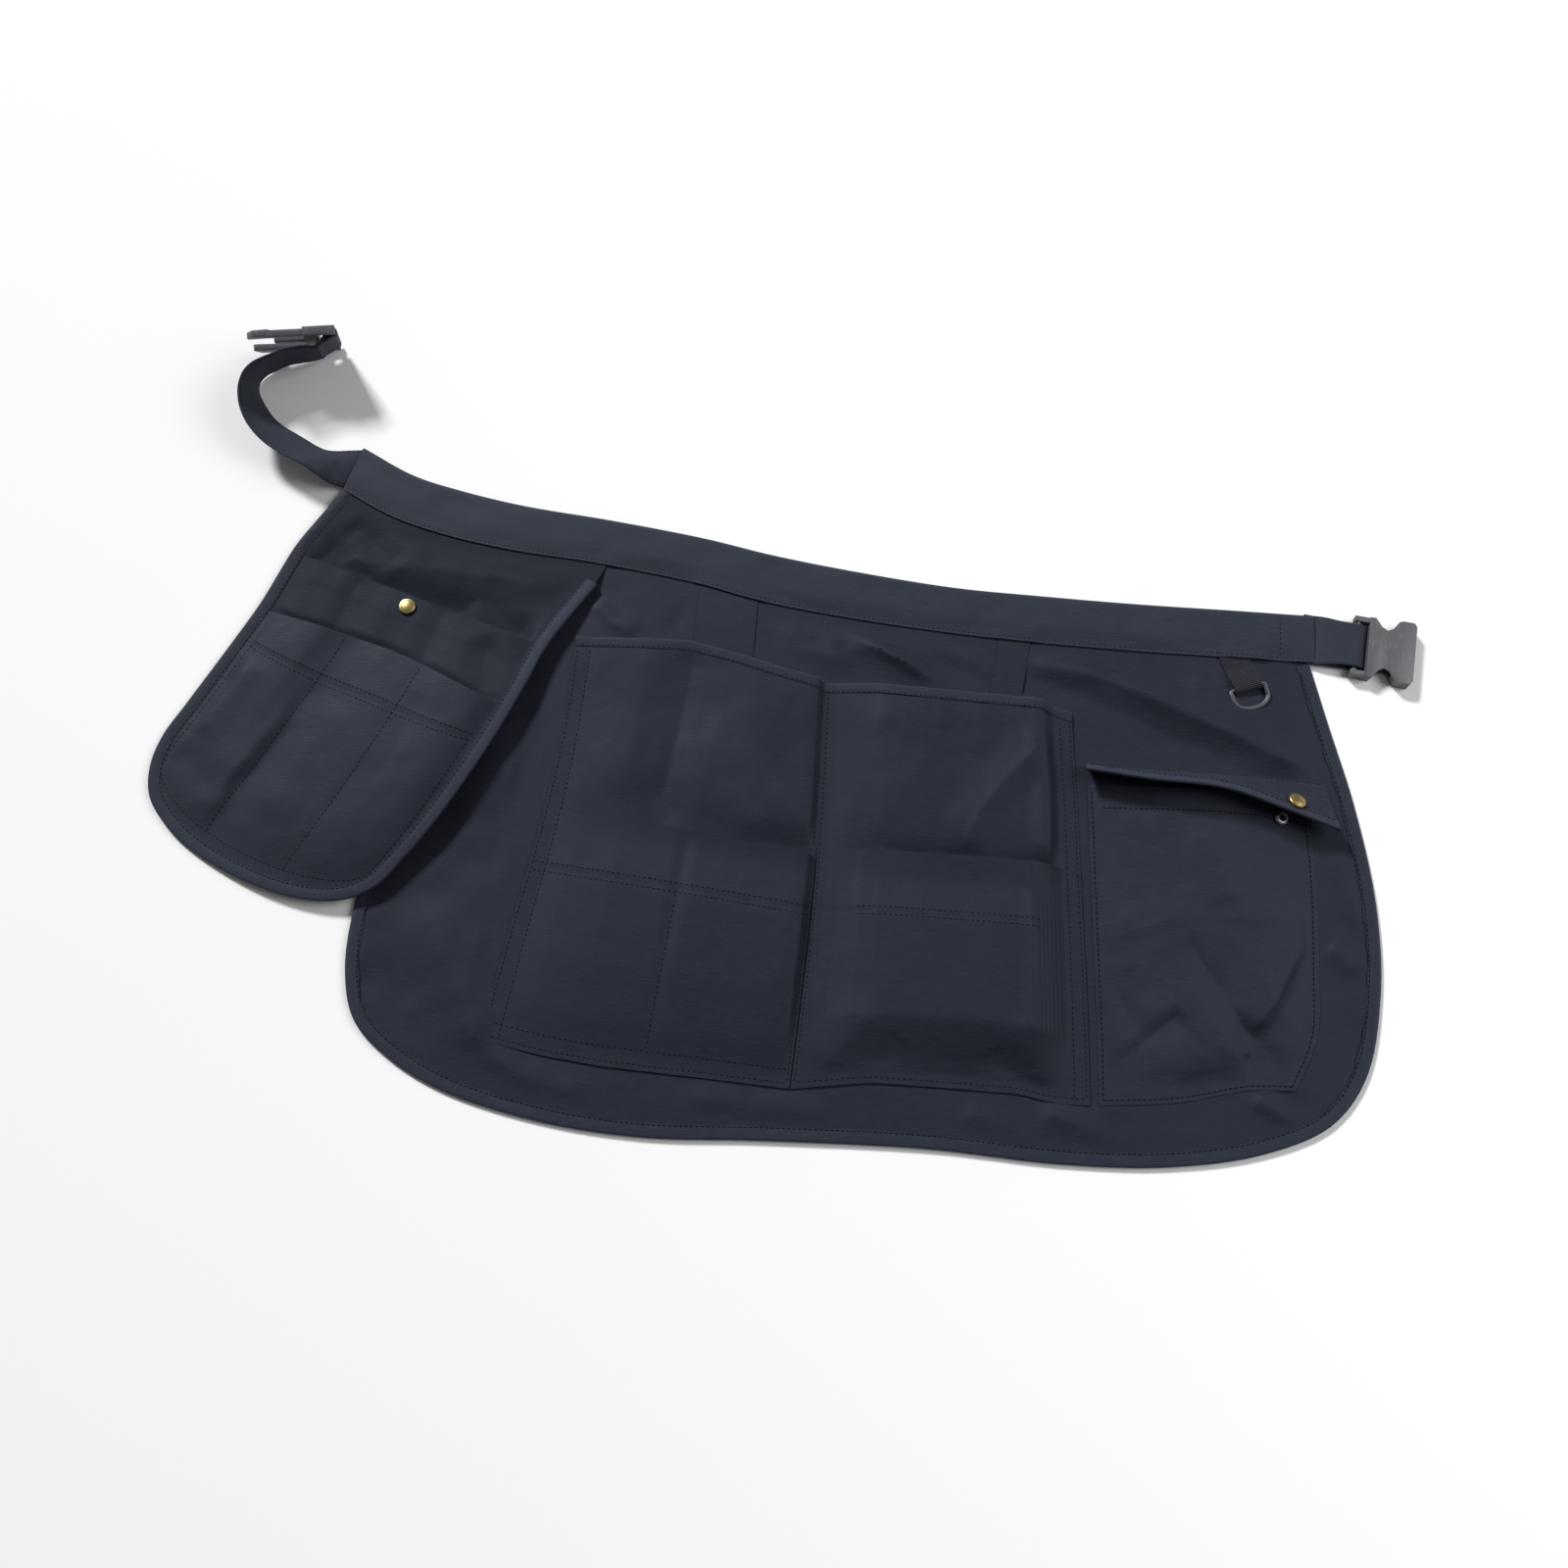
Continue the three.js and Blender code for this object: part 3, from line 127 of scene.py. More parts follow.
def side_ways(along: Array) -> Array:
    """Plan directions to the left of plan directions."""
    return unit(np.stack([-along[:, 1], along[:, 0], np.zeros(len(along))], -1))


class Curve:
    """A smooth curve through plan points, read by row or by length."""

    samples: int = 900
    step: float = 1e-4

    def __init__(self, points: Rows) -> None:
        """Keeps the points, with one more past each end.

        Args:
            points: Rows of x, y and, where given, z.
        """
        rows = [tuple(row) + (0.0,) * (3 - len(row)) for row in points]
        self.points = np.array(rows, float)
        first = 2 * self.points[0] - self.points[1]
        last = 2 * self.points[-1] - self.points[-2]
        self.padded = np.vstack([first, self.points, last])

    def by_row(self, share: Array) -> Array:
        """Points at shares of the rows' count.

        Args:
            share: Shares from 0 to 1.

        Returns:
            One point for each share.
        """
        spans = len(self.points) - 1
        place = np.clip(np.asarray(share, float), 0.0, 1.0) * spans
        row = np.minimum(place.astype(int), spans - 1)
        part = (place - row)[..., None]
        before, start, end, after = (self.padded[row + step] for step in range(4))

        def knot(a: Array, b: Array) -> Array:
            """The square root of the distance between two points."""
            return np.maximum(((b - a) ** 2).sum(-1, keepdims=True), 1e-12) ** 0.25

        k0, k1, k2 = knot(before, start), knot(start, end), knot(end, after)
        leave = ((start - before) / k0 - (end - before) / (k0 + k1) + (end - start) / k1) * k1
        arrive = ((end - start) / k1 - (after - start) / (k1 + k2) + (after - end) / k2) * k1
        square = -3 * start + 3 * end - 2 * leave - arrive
        cube = 2 * start - 2 * end + leave + arrive
        return start + part * (leave + part * (square + part * cube))

    def by_length(self, share: Array) -> Array:
        """Points at shares of the length.

        Args:
            share: Shares from 0 to 1.

        Returns:
            One point for each share.
        """
        rows = np.linspace(0.0, 1.0, self.samples)
        walked = lengths(self.by_row(rows))
        return self.by_row(np.interp(np.asarray(share, float) * walked[-1], walked, rows))

    def tangent(self, share: Array) -> Array:
        """Unit directions at shares of the rows' count.

        Args:
            share: Shares from 0 to 1.

        Returns:
            One direction for each share.
        """
        share = np.asarray(share, float)
        return unit(self.by_row(share + self.step) - self.by_row(share - self.step))

    def stretch(self, start: float, end: float, inset: float, count: int) -> Array:
        """Points on a stretch of the curve, moved to its left.

        Args:
            start: Share of the rows where the stretch starts.
            end: Share of the rows where it ends.
            inset: How far the points move to the left.
            count: How many steps the stretch has.

        Returns:
            The moved points.
        """
        share = np.linspace(start, end, count + 1)
        return self.by_row(share) + inset * side_ways(self.tangent(share))


def lengths(points: Array) -> Array:
    """Length walked at each point of a line, from 0 at the first."""
    steps = np.linalg.norm(np.diff(points, axis=0), axis=-1)
    return np.concatenate([[0.0], np.cumsum(steps)])


class Patch:
    """A plan surface spanned by four edge curves."""

    def __init__(self, top: Curve, bottom: Curve, left: Curve, right: Curve) -> None:
        """Keeps the four edges, which meet at their corners.

        Args:
            top: Edge at v = 0, left to right.
            bottom: Edge at v = 1, left to right.
            left: Edge at u = 0, top to bottom.
            right: Edge at u = 1, top to bottom.
        """
        self.top, self.bottom, self.left, self.right = top, bottom, left, right

    def __call__(self, u: Array, v: Array) -> Array:
        """Plan points at shares across and down.

        Args:
            u: Shares across.
            v: Shares down.

        Returns:
            One point for each pair.
        """
        across, down = u[..., None], v[..., None]
        top, bottom = self.top.points, self.bottom.points
        sides = self.left.by_length(v) * (1 - across) + self.right.by_length(v) * across
        ends = self.top.by_length(u) * (1 - down) + self.bottom.by_length(u) * down
        corners = (top[0] * (1 - across) + top[-1] * across) * (1 - down)
        corners = corners + (bottom[0] * (1 - across) + bottom[-1] * across) * down
        return sides + ends - corners


class Profile:
    """A table of heights that is read between its rows, with its corners rounded."""

    samples: int = 1601

    def __init__(self, rows: Rows, soft: float = 0.0) -> None:
        """Samples the table and rounds it.

        Args:
            rows: Rows of place and height.
            soft: How far each corner is rounded, in units of place.
        """
        at, height = np.array(rows, float).T
        self.at = np.linspace(at[0], at[-1], self.samples)
        self.height = np.interp(self.at, at, height)
        if soft > 0.0:
            step = self.at[1] - self.at[0]
            reach = int(3 * soft / step) + 1
            kernel = np.exp(-0.5 * (np.arange(-reach, reach + 1) * step / soft) ** 2)
            padded = np.pad(self.height, reach, mode="edge")
            self.height = np.convolve(padded, kernel / kernel.sum(), mode="valid")

    def __call__(self, at: Array) -> Array:
        """Heights at places, held past both ends."""
        return np.interp(at, self.at, self.height)


@dataclass(frozen=True)
class Crease:
    """A ridge or a dent that follows a plan line and dies away at both ends.

    It reaches one distance to the left of its line and another to the right. A sharp of 1 gives a pinched
    line and 2 a rounded one.
    """

    path: tuple[tuple[float, float], ...]
    left: float
    right: float
    rise: float
    sharp: float = 1.2
    fade: float = 0.2

    def height(self, x: Array, y: Array) -> Array:
        """How far the cloth stands up or dips at plan points.

        Args:
            x: Plan X of the points.
            y: Plan Y of the points.

        Returns:
            The heights.
        """
        nearest = np.full(np.shape(x), np.inf)
        share = np.zeros(np.shape(x))
        reach = np.full(np.shape(x), self.left)
        walked = lengths(np.array(self.path, float))
        for step, (start, end) in enumerate(zip(self.path, self.path[1:])):
            along_x, along_y = end[0] - start[0], end[1] - start[1]
            square = along_x**2 + along_y**2
            part = np.clip(((x - start[0]) * along_x + (y - start[1]) * along_y) / square, 0.0, 1.0)
            away = np.hypot(x - start[0] - part * along_x, y - start[1] - part * along_y)
            closer = away < nearest
            nearest = np.where(closer, away, nearest)
            leftward = along_x * (y - start[1]) - along_y * (x - start[0]) > 0
            reach = np.where(closer, np.where(leftward, self.left, self.right), reach)
            here = (walked[step] + part * math.sqrt(square)) / walked[-1]
            share = np.where(closer, here, share)
        ends = smooth_share(np.minimum(share, 1.0 - share), 0.0, self.fade)
        return self.rise * ends * (1.0 - np.clip(nearest / reach, 0.0, 1.0) ** self.sharp) ** 1.5


@dataclass(frozen=True)
class Ripple:
    """The soft unevenness of cloth that has been folded and laid out again."""

    seed: int
    rise: float
    shortest: float
    longest: float
    count: int = 12

    def height(self, x: Array, y: Array) -> Array:
        """How far the cloth stands up or dips at plan points.

        Args:
            x: Plan X of the points.
            y: Plan Y of the points.

        Returns:
            The heights, about as often below 0 as above.
        """
        draw = np.random.default_rng(self.seed)
        total = np.zeros(np.shape(x))
        for wave in np.geomspace(self.longest, self.shortest, self.count):
            angle, phase, wander = draw.uniform(0.0, 2 * math.pi, 3)
            along = x * math.cos(angle) + y * math.sin(angle)
            across = y * math.cos(angle) - x * math.sin(angle)
            bend = 1.4 * np.sin(2 * math.pi * across / (2.3 * wave) + wander)
            total += wave / self.longest * np.sin(2 * math.pi * along / wave + phase + bend)
        return self.rise * total / math.sqrt(self.count)


def kept_up(height: Array) -> Array:
    """Heights with their dips softened away."""
    return 0.5 * (height + np.sqrt(height * height + 0.3))


def creased(creases: Sequence[Crease], x: Array, y: Array) -> Array:
    """Heights of several creases together.

    Args:
        creases: The creases.
        x: Plan X of the points.
        y: Plan Y of the points.

    Returns:
        Their summed heights.
    """
    total = np.zeros(np.shape(x))
    for crease in creases:
        total = total + crease.height(x, y)
    return total


# Meshes


def shares(columns: int, rows: int) -> tuple[Array, Array]:
    """Shares across and shares down of a grid with these steps, each as rows by columns."""
    return np.meshgrid(np.linspace(0.0, 1.0, columns + 1), np.linspace(0.0, 1.0, rows + 1))


def raised(points: Array, height: Array) -> Array:
    """Points moved up, each by its own height."""
    return points + height[..., None] * UP


def finished(name: str, bm: Mesh, sharp_deg: float = 50.0) -> Object:
    """Turns a bmesh into an object of the scene.

    Args:
        name: Name of the object.
        bm: The bmesh, in metres, which is freed.
        sharp_deg: Edges that bend more than this stay sharp.

    Returns:
        The object.
    """
    mesh = bpy.data.meshes.new(name)
    bm.to_mesh(mesh)
    bm.free()
    mesh.shade_smooth()
    mesh.set_sharp_from_angle(angle=math.radians(sharp_deg))
    obj = bpy.data.objects.new(name, mesh)
    bpy.context.scene.collection.objects.link(obj)
    return obj


def laid_grid(points: Array, weave: Weave, wear_and_highlight: Array | None = None) -> Mesh:
    """A grid of faces brought to given points, with its yarns mapped in millimetres.

    Args:
        points: Plan points as rows by columns.
        weave: How the yarns lie.
        wear_and_highlight: How much paler the cloth is painted at each point, from 0 to 1, for wear and for
            painted highlight.

    Returns:
        The bmesh, in metres.
    """
    rows, columns = points.shape[:2]
    bm = bmesh.new()
    yarns = bm.loops.layers.uv.new("yarns")
    wear_highlight_marks = bm.verts.layers.float.new("wear_and_highlight")
    bmesh.ops.create_grid(bm, x_segments=columns - 1, y_segments=rows - 1, size=0.5)
    flat = np.array([vert.co for vert in bm.verts])
    column = np.rint((flat[:, 0] + 0.5) * (columns - 1)).astype(int)
    row = np.rint((0.5 - flat[:, 1]) * (rows - 1)).astype(int)
    if weave is Weave.PLAN:
        over, along = points[..., 0], points[..., 1]
    else:
        over = np.broadcast_to(lengths(points[rows // 2])[None, :], (rows, columns))
        along = np.broadcast_to(lengths(points[:, columns // 2])[:, None], (rows, columns))
    places = ((points + PLAN_TO_FRAME) * MM)[row, column].tolist()
    mapped = np.stack([over[row, column], along[row, column]], -1).tolist()
    wear_highlight_shares = np.zeros(len(row)) if wear_and_highlight is None else wear_and_highlight[row, column]
    for vert, place, share in zip(bm.verts, places, wear_highlight_shares.tolist()):
        vert.co = place
        vert[wear_highlight_marks] = share
    bm.verts.index_update()
    for face in bm.faces:
        for loop in face.loops:
            loop[yarns].uv = mapped[loop.vert.index]
    bm.normal_update()
    return bm


def cloth(
    name: str, points: Array, wall: float, weave: Weave = Weave.PLAN, wear_and_highlight: Array | None = None
) -> Object:
    """A sheet of cloth with its upper face on given points.

    Args:
        name: Name of the object.
        points: Plan points as rows by columns.
        wall: Thickness of the cloth.
        weave: How the yarns lie.
        wear_and_highlight: How much paler the cloth is painted at each point, for wear and for painted
            highlight.

    Returns:
        The object, a closed shell.
    """
    bm = laid_grid(points, weave, wear_and_highlight)
    bmesh.ops.solidify(bm, geom=bm.faces[:], thickness=wall * MM)
    return finished(name, bm)


def closed(bm: Mesh) -> Mesh:
    """Joins a rolled-up grid along its seam, fills its open ends and turns its faces outward.

    Args:
        bm: The bmesh.

    Returns:
        The same bmesh.
    """
    bmesh.ops.remove_doubles(bm, verts=bm.verts[:], dist=SAME_PLACE)
    rim = [edge for edge in bm.edges if edge.is_boundary]
    if rim:
        bmesh.ops.holes_fill(bm, edges=rim, sides=0)
    bmesh.ops.recalc_face_normals(bm, faces=bm.faces[:])
    return bm


def swept(
    name: str, at: Array, inward: Array, up: Array, section: Array, wear_and_highlight: Array | None = None
) -> Object:
    """A closed section carried along stations.

    Args:
        name: Name of the object.
        at: Plan points of the stations.
        inward: The section's first direction at each station.
        up: Its second direction at each station.
        section: The section's corners as inward and up, in order round it, or one such section for each
            station.
        wear_and_highlight: How much paler the piece is painted at each corner of the section, for wear and
            for painted highlight.

    Returns:
        The object, closed at both ends unless they meet.
    """
    ring = section[:, None] if section.ndim == 2 else section.transpose(1, 0, 2)
    ring = np.concatenate([ring, ring[:1]])
    points = at[None] + ring[..., :1] * inward[None] + ring[..., 1:] * up[None]
    wear_highlight_marks = None
    if wear_and_highlight is not None:
        wear_highlight_marks = np.broadcast_to(np.append(wear_and_highlight, wear_and_highlight[0])[:, None], points.shape[:2])
    return finished(name, closed(laid_grid(points, Weave.LENGTH, wear_highlight_marks)))


def folded_section(leg: float, height: float, wall: float, steps: int, end_drop: float = 0.0) -> Array:
    """The outline of tape folded round an edge, with its fold at 0 and its legs reaching inward.

    Args:
        leg: Length of each leg.
        height: Height from face to face.
        wall: Thickness of the tape.
        steps: How many steps each leg has.
        end_drop: How far the upper leg bends down at its end.

    Returns:
        Rows of inward and up.
    """
    outer = height / 2
    inner = outer - wall
    reach = np.linspace(outer, leg, steps + 1)
    drop = end_drop * smooth_share(reach, leg * 0.45, leg)
    turn = np.linspace(-math.pi / 2, -3 * math.pi / 2, 9)[1:-1]
    fold = np.stack([np.cos(turn), np.sin(turn)], -1)
    middle = np.array([outer, outer])
    under = np.stack([reach[::-1], np.zeros(steps + 1)], -1)
    over = np.stack([reach, height - drop], -1)
    lining = np.stack([reach[::-1], (height - wall - drop)[::-1]], -1)
    back = np.stack([reach, np.full(steps + 1, wall)], -1)
    return np.vstack([under, middle + outer * fold, over, lining, middle + inner * fold[::-1], back])


def strip_section(width: float, wall: float, steps: int = 10, hem: float = 0.0) -> Array:
    """The outline of a flat strap with rounded edges.

    Args:
        width: Width of the strap, from 0 inward.
        wall: Thickness of the strap.
        steps: How many steps each face has.
        hem: How much thicker the strap is along its edges.

    Returns:
        Rows of inward and up.
    """
    half = wall / 2
    reach = np.linspace(half, width - half, steps + 1)
    edge = np.minimum(reach, width - reach)
    face = half + hem * (1 - smooth_share(edge, 2.5, 4.5))
    turn = np.linspace(math.pi / 2, -math.pi / 2, 7)[1:-1]
    end = np.stack([half * np.cos(turn), (half + hem) * np.sin(turn)], -1)
    over = np.stack([reach, face], -1)
    return np.vstack(
        [over, end + [width - half, 0.0], (over * [1.0, -1.0])[::-1], (end * [-1.0, -1.0]) + [half, 0.0]]
    )


@dataclass(frozen=True)
class Stitching:
    """Lockstitch that shows as a row of short threads pulled into the cloth."""

    length: float = 2.7
    gap: float = 1.0
    width: float = 0.6
    height: float = 0.5

    def sew(self, name: str, lines: Sequence[Line]) -> Object:
        """Lays stitches along lines.

        Args:
            name: Name of the object.
            lines: For each line its plan points and the cloth's directions out of its face.

        Returns:
            One object of all the stitches.
        """
        bm = bmesh.new()
        for points, outs in lines:
            walked = lengths(points)
            count = max(1, int(walked[-1] // (self.length + self.gap)))
            middles = (np.arange(count) + 0.5) * walked[-1] / count
            for middle in middles:
                self._stitch(bm, points, outs, walked, middle)
        return finished(name, bm, 180.0)

    def _stitch(self, bm: Mesh, points: Array, outs: Array, walked: Array, middle: float) -> None:
        """Adds one stitch.

        Args:
            bm: The bmesh that takes it.
            points: Plan points of the line.
            outs: The cloth's directions out of its face.
            walked: Length walked at each point.
            middle: Length walked at the stitch's middle.
        """
        ends = [middle - self.length / 2, middle, middle + self.length / 2]
        start, centre, end = (
            Vector([np.interp(place, walked, points[:, axis]) for axis in range(3)]) for place in ends
        )
        out = Vector([np.interp(middle, walked, outs[:, axis]) for axis in range(3)])
        along = (end - start).normalized()
        side = out.cross(along).normalized()
        out = along.cross(side)
        matrix = Matrix.Identity(4)
        half = (self.length / 2, self.width / 2, self.height / 2)
        for column, (direction, size) in enumerate(zip((along, side, out), half)):
            matrix.col[column] = (*(direction * size * MM), 0.0)
        matrix.translation = (centre + Vector(PLAN_TO_FRAME)) * MM
        bmesh.ops.create_icosphere(bm, subdivisions=1, radius=1.0, matrix=matrix)


# Close, wide stitches in the dark thread that run together into one dark line along tape and pocket edges:
# partly real stitching, partly painted shadow of those edges.
STITCH_AND_SHADOW_LINE = Stitching(length=3.2, gap=0.4, width=0.95, height=0.55)


def lying(points: Array) -> Line:
    """A stitched line on cloth that lies flat: its points with the way up."""
    return points, np.broadcast_to(UP, points.shape)


def sewn_line(face: Face, u: Array | float, v: Array | float, over: float) -> Line:
    """A stitched line on a pocket's face.

    Args:
        face: Gives the face's plan points at shares across and down.
        u: Shares across, or one share for the whole line.
        v: Shares down, or one share for the whole line.
        over: How far the stitches lie over the face.

    Returns:
        Its points with the way up.
    """
    points = face(*np.broadcast_arrays(u, v))
    return lying(raised(points, np.full(len(points), over)))


# Finishes


class Shader:
    """A material's nodes, added and joined by name."""

    def __init__(self, name: str) -> None:
        """Starts a material with its surface shader.

        Args:
            name: Name of the material.
        """
        self.material = bpy.data.materials.new(name)
        self.material.use_nodes = True
        self.tree = self.material.node_tree
        self.surface = self.tree.nodes["Principled BSDF"]

    def node(self, kind: str, settings: dict | None = None, inputs: dict | None = None) -> bpy.types.Node:
        """Adds a node.

        Args:
            kind: Type of the node.
            settings: Its properties.
            inputs: Its sockets, each a value or another node's output.

        Returns:
            The node.
        """
        node = self.tree.nodes.new(kind)
        for key, value in (settings or {}).items():
            setattr(node, key, value)
        for key, value in (inputs or {}).items():
            self.put(node.inputs[key], value)
        return node

    def put(self, socket: Socket, value: object) -> None:
        """Sets a socket, or joins it to an output.

        Args:
            socket: The socket.
            value: A value, or an output socket.
        """
        if isinstance(value, Socket):
            self.tree.links.new(value, socket)
        else:
            socket.default_value = value

    def math(self, operation: str, first: object, second: object) -> Socket:
        """The result of a sum on two values or outputs."""
        return self.node("ShaderNodeMath", {"operation": operation}, {0: first, 1: second}).outputs[0]

    def coat(self, key: str, value: object) -> None:
        """Sets one of the surface's sockets, or joins it to an output."""
        self.put(self.surface.inputs[key], value)

    def place(self) -> Socket:
        """The place on the object, in metres."""
        return self.node("ShaderNodeTexCoord").outputs["Object"]

    def yarns(self) -> Socket:
        """The piece's own map, in millimetres."""
        return self.node("ShaderNodeUVMap", {"uv_map": "yarns"}).outputs["UV"]

    def scaled(self, vector: Socket, scale: tuple[float, float, float]) -> Socket:
        """A map stretched by a scale."""
        return self.node("ShaderNodeMapping", {}, {"Vector": vector, "Scale": scale}).outputs["Vector"]

    def noise(self, vector: Socket, scale: float, detail: float = 3.0) -> Socket:
        """A cloudy value from 0 to 1 on a map."""
        return self.node(
            "ShaderNodeTexNoise", {}, {"Vector": vector, "Scale": scale, "Detail": detail}
        ).outputs["Fac"]

    def ranged(self, value: Socket, source: tuple, target: tuple) -> Socket:
        """A value brought from one range to another, and held at its ends."""
        ends = {"From Min": source[0], "From Max": source[1], "To Min": target[0], "To Max": target[1]}
        return self.node("ShaderNodeMapRange", {"clamp": True}, {"Value": value, **ends}).outputs["Result"]

    def threads(self, yarns: Socket, way: str, pitch: float, waver: float, fineness: float) -> Socket:
        """Even bands on a map, like threads laid side by side.

        Args:
            yarns: The map, in millimetres.
            way: The axis that the bands follow one another on.
            pitch: Width of a band, in millimetres.
            waver: How far the bands wander.
            fineness: How fine their wandering is.

        Returns:
            A value from 0 to 1.
        """
        scale = 2 * math.pi / 20 / pitch
        sizes = {"Scale": scale, "Distortion": waver, "Detail": 1.0, "Detail Scale": fineness}
        settings = {"bands_direction": way, "wave_profile": "SIN"}
        return self.node("ShaderNodeTexWave", settings, {"Vector": yarns, **sizes}).outputs["Fac"]

    def mixed(self, share: object, first: object, second: object) -> Socket:
        """A colour between two colours."""
        node = self.node("ShaderNodeMix", {"data_type": "RGBA"})
        self.put(node.inputs[0], share)
        self.put(node.inputs[6], first)
        self.put(node.inputs[7], second)
        return node.outputs[2]

    def bumped(self, heights: Sequence[tuple[Socket, float, float]]) -> None:
        """Adds relief to the surface.

        Args:
            heights: For each layer its height, its strength and its depth in metres.
        """
        normal = None
        for height, strength, depth in heights:
            relief = {"Height": height, "Strength": strength, "Distance": depth}
            node = self.node("ShaderNodeBump", {}, relief)
            if normal is not None:
                self.put(node.inputs["Normal"], normal)
            normal = node.outputs["Normal"]
        self.coat("Normal", normal)

    def constants(self, values: dict[str, object]) -> None:
        """Sets the surface's own sockets."""
        for key, value in values.items():
            self.surface.inputs[key].default_value = value


def grey(colour: Colour, times: float) -> tuple[float, float, float, float]:
    """A colour made lighter or darker, with no transparency."""
    return tuple(channel * times for channel in colour) + (1.0,)


@dataclass(frozen=True)
class ClothFinish:
    """Plain-woven polyester with slubs along the weft, a faint sheen, and edges painted paler: wear along
    folds, and painted highlight over the flap's tape.
    """

    name: str
    colour: Colour
    yarn: float = 0.62
    roughness: float = 0.6
    gloss: float = 0.2
    sheen: float = 0.05
    crumple: float = 0.1

    def material(self) -> Material:
        """Builds the material.

        Returns:
            The material.
        """
        shader = Shader(self.name)
        yarns = shader.yarns()
        warp, weft = (shader.threads(yarns, way, self.yarn, 0.6, 0.4) for way in ("X", "Y"))
        weave = shader.math("MULTIPLY", warp, weft)
        slubs = shader.noise(shader.scaled(yarns, (0.09, 1.1, 1.0)), 1.0, 3.0)
        clouds = shader.noise(yarns, 0.018, 4.0)
        crumples = shader.noise(yarns, 0.055, 5.0)
        streaks = shader.ranged(slubs, (0.36, 0.68), (0.0, 1.0))
        base = shader.mixed(streaks, grey(self.colour, 0.8), grey(self.colour, 1.24))
        cloudy = shader.mixed(shader.ranged(clouds, (0.3, 0.7), (0.0, 0.35)), base, grey(self.colour, 1.45))
        # Paler where the mesh is marked: wear along folded edges, and painted highlight over the flap's tape.
        wear_and_highlight = shader.node("ShaderNodeAttribute", {"attribute_name": "wear_and_highlight"}).outputs["Fac"]
        patchy = shader.math("MULTIPLY", wear_and_highlight, shader.ranged(slubs, (0.3, 0.6), (0.25, 0.8)))
        shader.coat("Base Color", shader.mixed(patchy, cloudy, grey(self.colour, 2.1)))
        rough = shader.ranged(slubs, (0.3, 0.7), (self.roughness - 0.07, self.roughness + 0.09))
        shader.coat("Roughness", rough)
        shader.constants(
            {
                "Specular IOR Level": self.gloss,
                "Specular Tint": (0.72, 0.82, 1.0, 1.0),
                "Sheen Weight": self.sheen,
                "Sheen Roughness": 0.45,
                "Sheen Tint": (0.72, 0.78, 1.0, 1.0),
            }
        )
        shader.bumped([(crumples, self.crumple, 0.0035), (slubs, 0.22, 0.0004), (weave, 0.2, 0.0002)])
        return shader.material


@dataclass(frozen=True)
class WebbingFinish:
    """Ribbed woven webbing with slanting ribs across its width."""

    name: str
    colour: Colour
    rib: float = 1.5

    def material(self) -> Material:
        """Builds the material.

        Returns:
            The material.
        """
        shader = Shader(self.name)
        yarns = shader.yarns()
        ribs = shader.threads(yarns, "X", self.rib, 1.2, 0.6)
        between = shader.threads(yarns, "Y", self.rib / 1.7, 1.2, 0.6)
        woven = shader.math("ADD", ribs, shader.math("MULTIPLY", between, 0.5))
        fuzz = shader.noise(yarns, 1.3, 3.0)
        light = shader.ranged(woven, (0.5, 1.4), (0.0, 1.0))
        base = shader.mixed(light, grey(self.colour, 0.4), grey(self.colour, 2.4))
        lint = shader.ranged(fuzz, (0.55, 0.75), (0.0, 0.25))
        shader.coat("Base Color", shader.mixed(lint, base, grey(self.colour, 1.9)))
        shader.coat("Roughness", shader.ranged(fuzz, (0.3, 0.7), (0.6, 0.8)))
        shader.constants({"Specular IOR Level": 0.25, "Sheen Weight": 0.05, "Sheen Roughness": 0.4})
        shader.bumped([(woven, 0.8, 0.0008), (fuzz, 0.2, 0.0002)])
        return shader.material


@dataclass(frozen=True)
class ThreadFinish:
    """Twisted polyester thread, a little glossier than the cloth and darker than it: partly the thread's own
    dark colour, partly painted shade of the dimples it pulls into the cloth.
    """

    name: str
    colour: Colour

    def material(self) -> Material:
        """Builds the material.

        Returns:
            The material.
        """
        shader = Shader(self.name)
        place = shader.place()
        twist = shader.noise(place, 900.0, 2.0)
        strands = shader.ranged(twist, (0.3, 0.7), (0.0, 1.0))
        shader.coat("Base Color", shader.mixed(strands, grey(self.colour, 0.7), grey(self.colour, 1.4)))
        shader.constants({"Roughness": 0.7, "Specular IOR Level": 0.12})
        shader.bumped([(twist, 0.4, 0.0002)])
        return shader.material


@dataclass(frozen=True)
class PlasticFinish:
    """Moulded acetal with a fine grain and scuffed, smoother patches."""

    name: str
    colour: Colour
    roughness: float = 0.42

    def material(self) -> Material:
        """Builds the material.

        Returns:
            The material.
        """
        shader = Shader(self.name)
        place = shader.place()
        grain = shader.noise(place, 2600.0, 2.0)
        scuffs = shader.noise(shader.scaled(place, (1.0, 0.35, 1.0)), 420.0, 6.0)
        pale = shader.ranged(scuffs, (0.55, 0.75), (0.0, 0.4))
        shader.coat("Base Color", shader.mixed(pale, grey(self.colour, 0.9), grey(self.colour, 1.8)))
        rough = shader.ranged(scuffs, (0.3, 0.7), (self.roughness - 0.08, self.roughness + 0.12))
        shader.coat("Roughness", rough)
        shader.constants({"Specular IOR Level": 0.5})
        shader.bumped([(grain, 0.12, 0.0002)])
        return shader.material


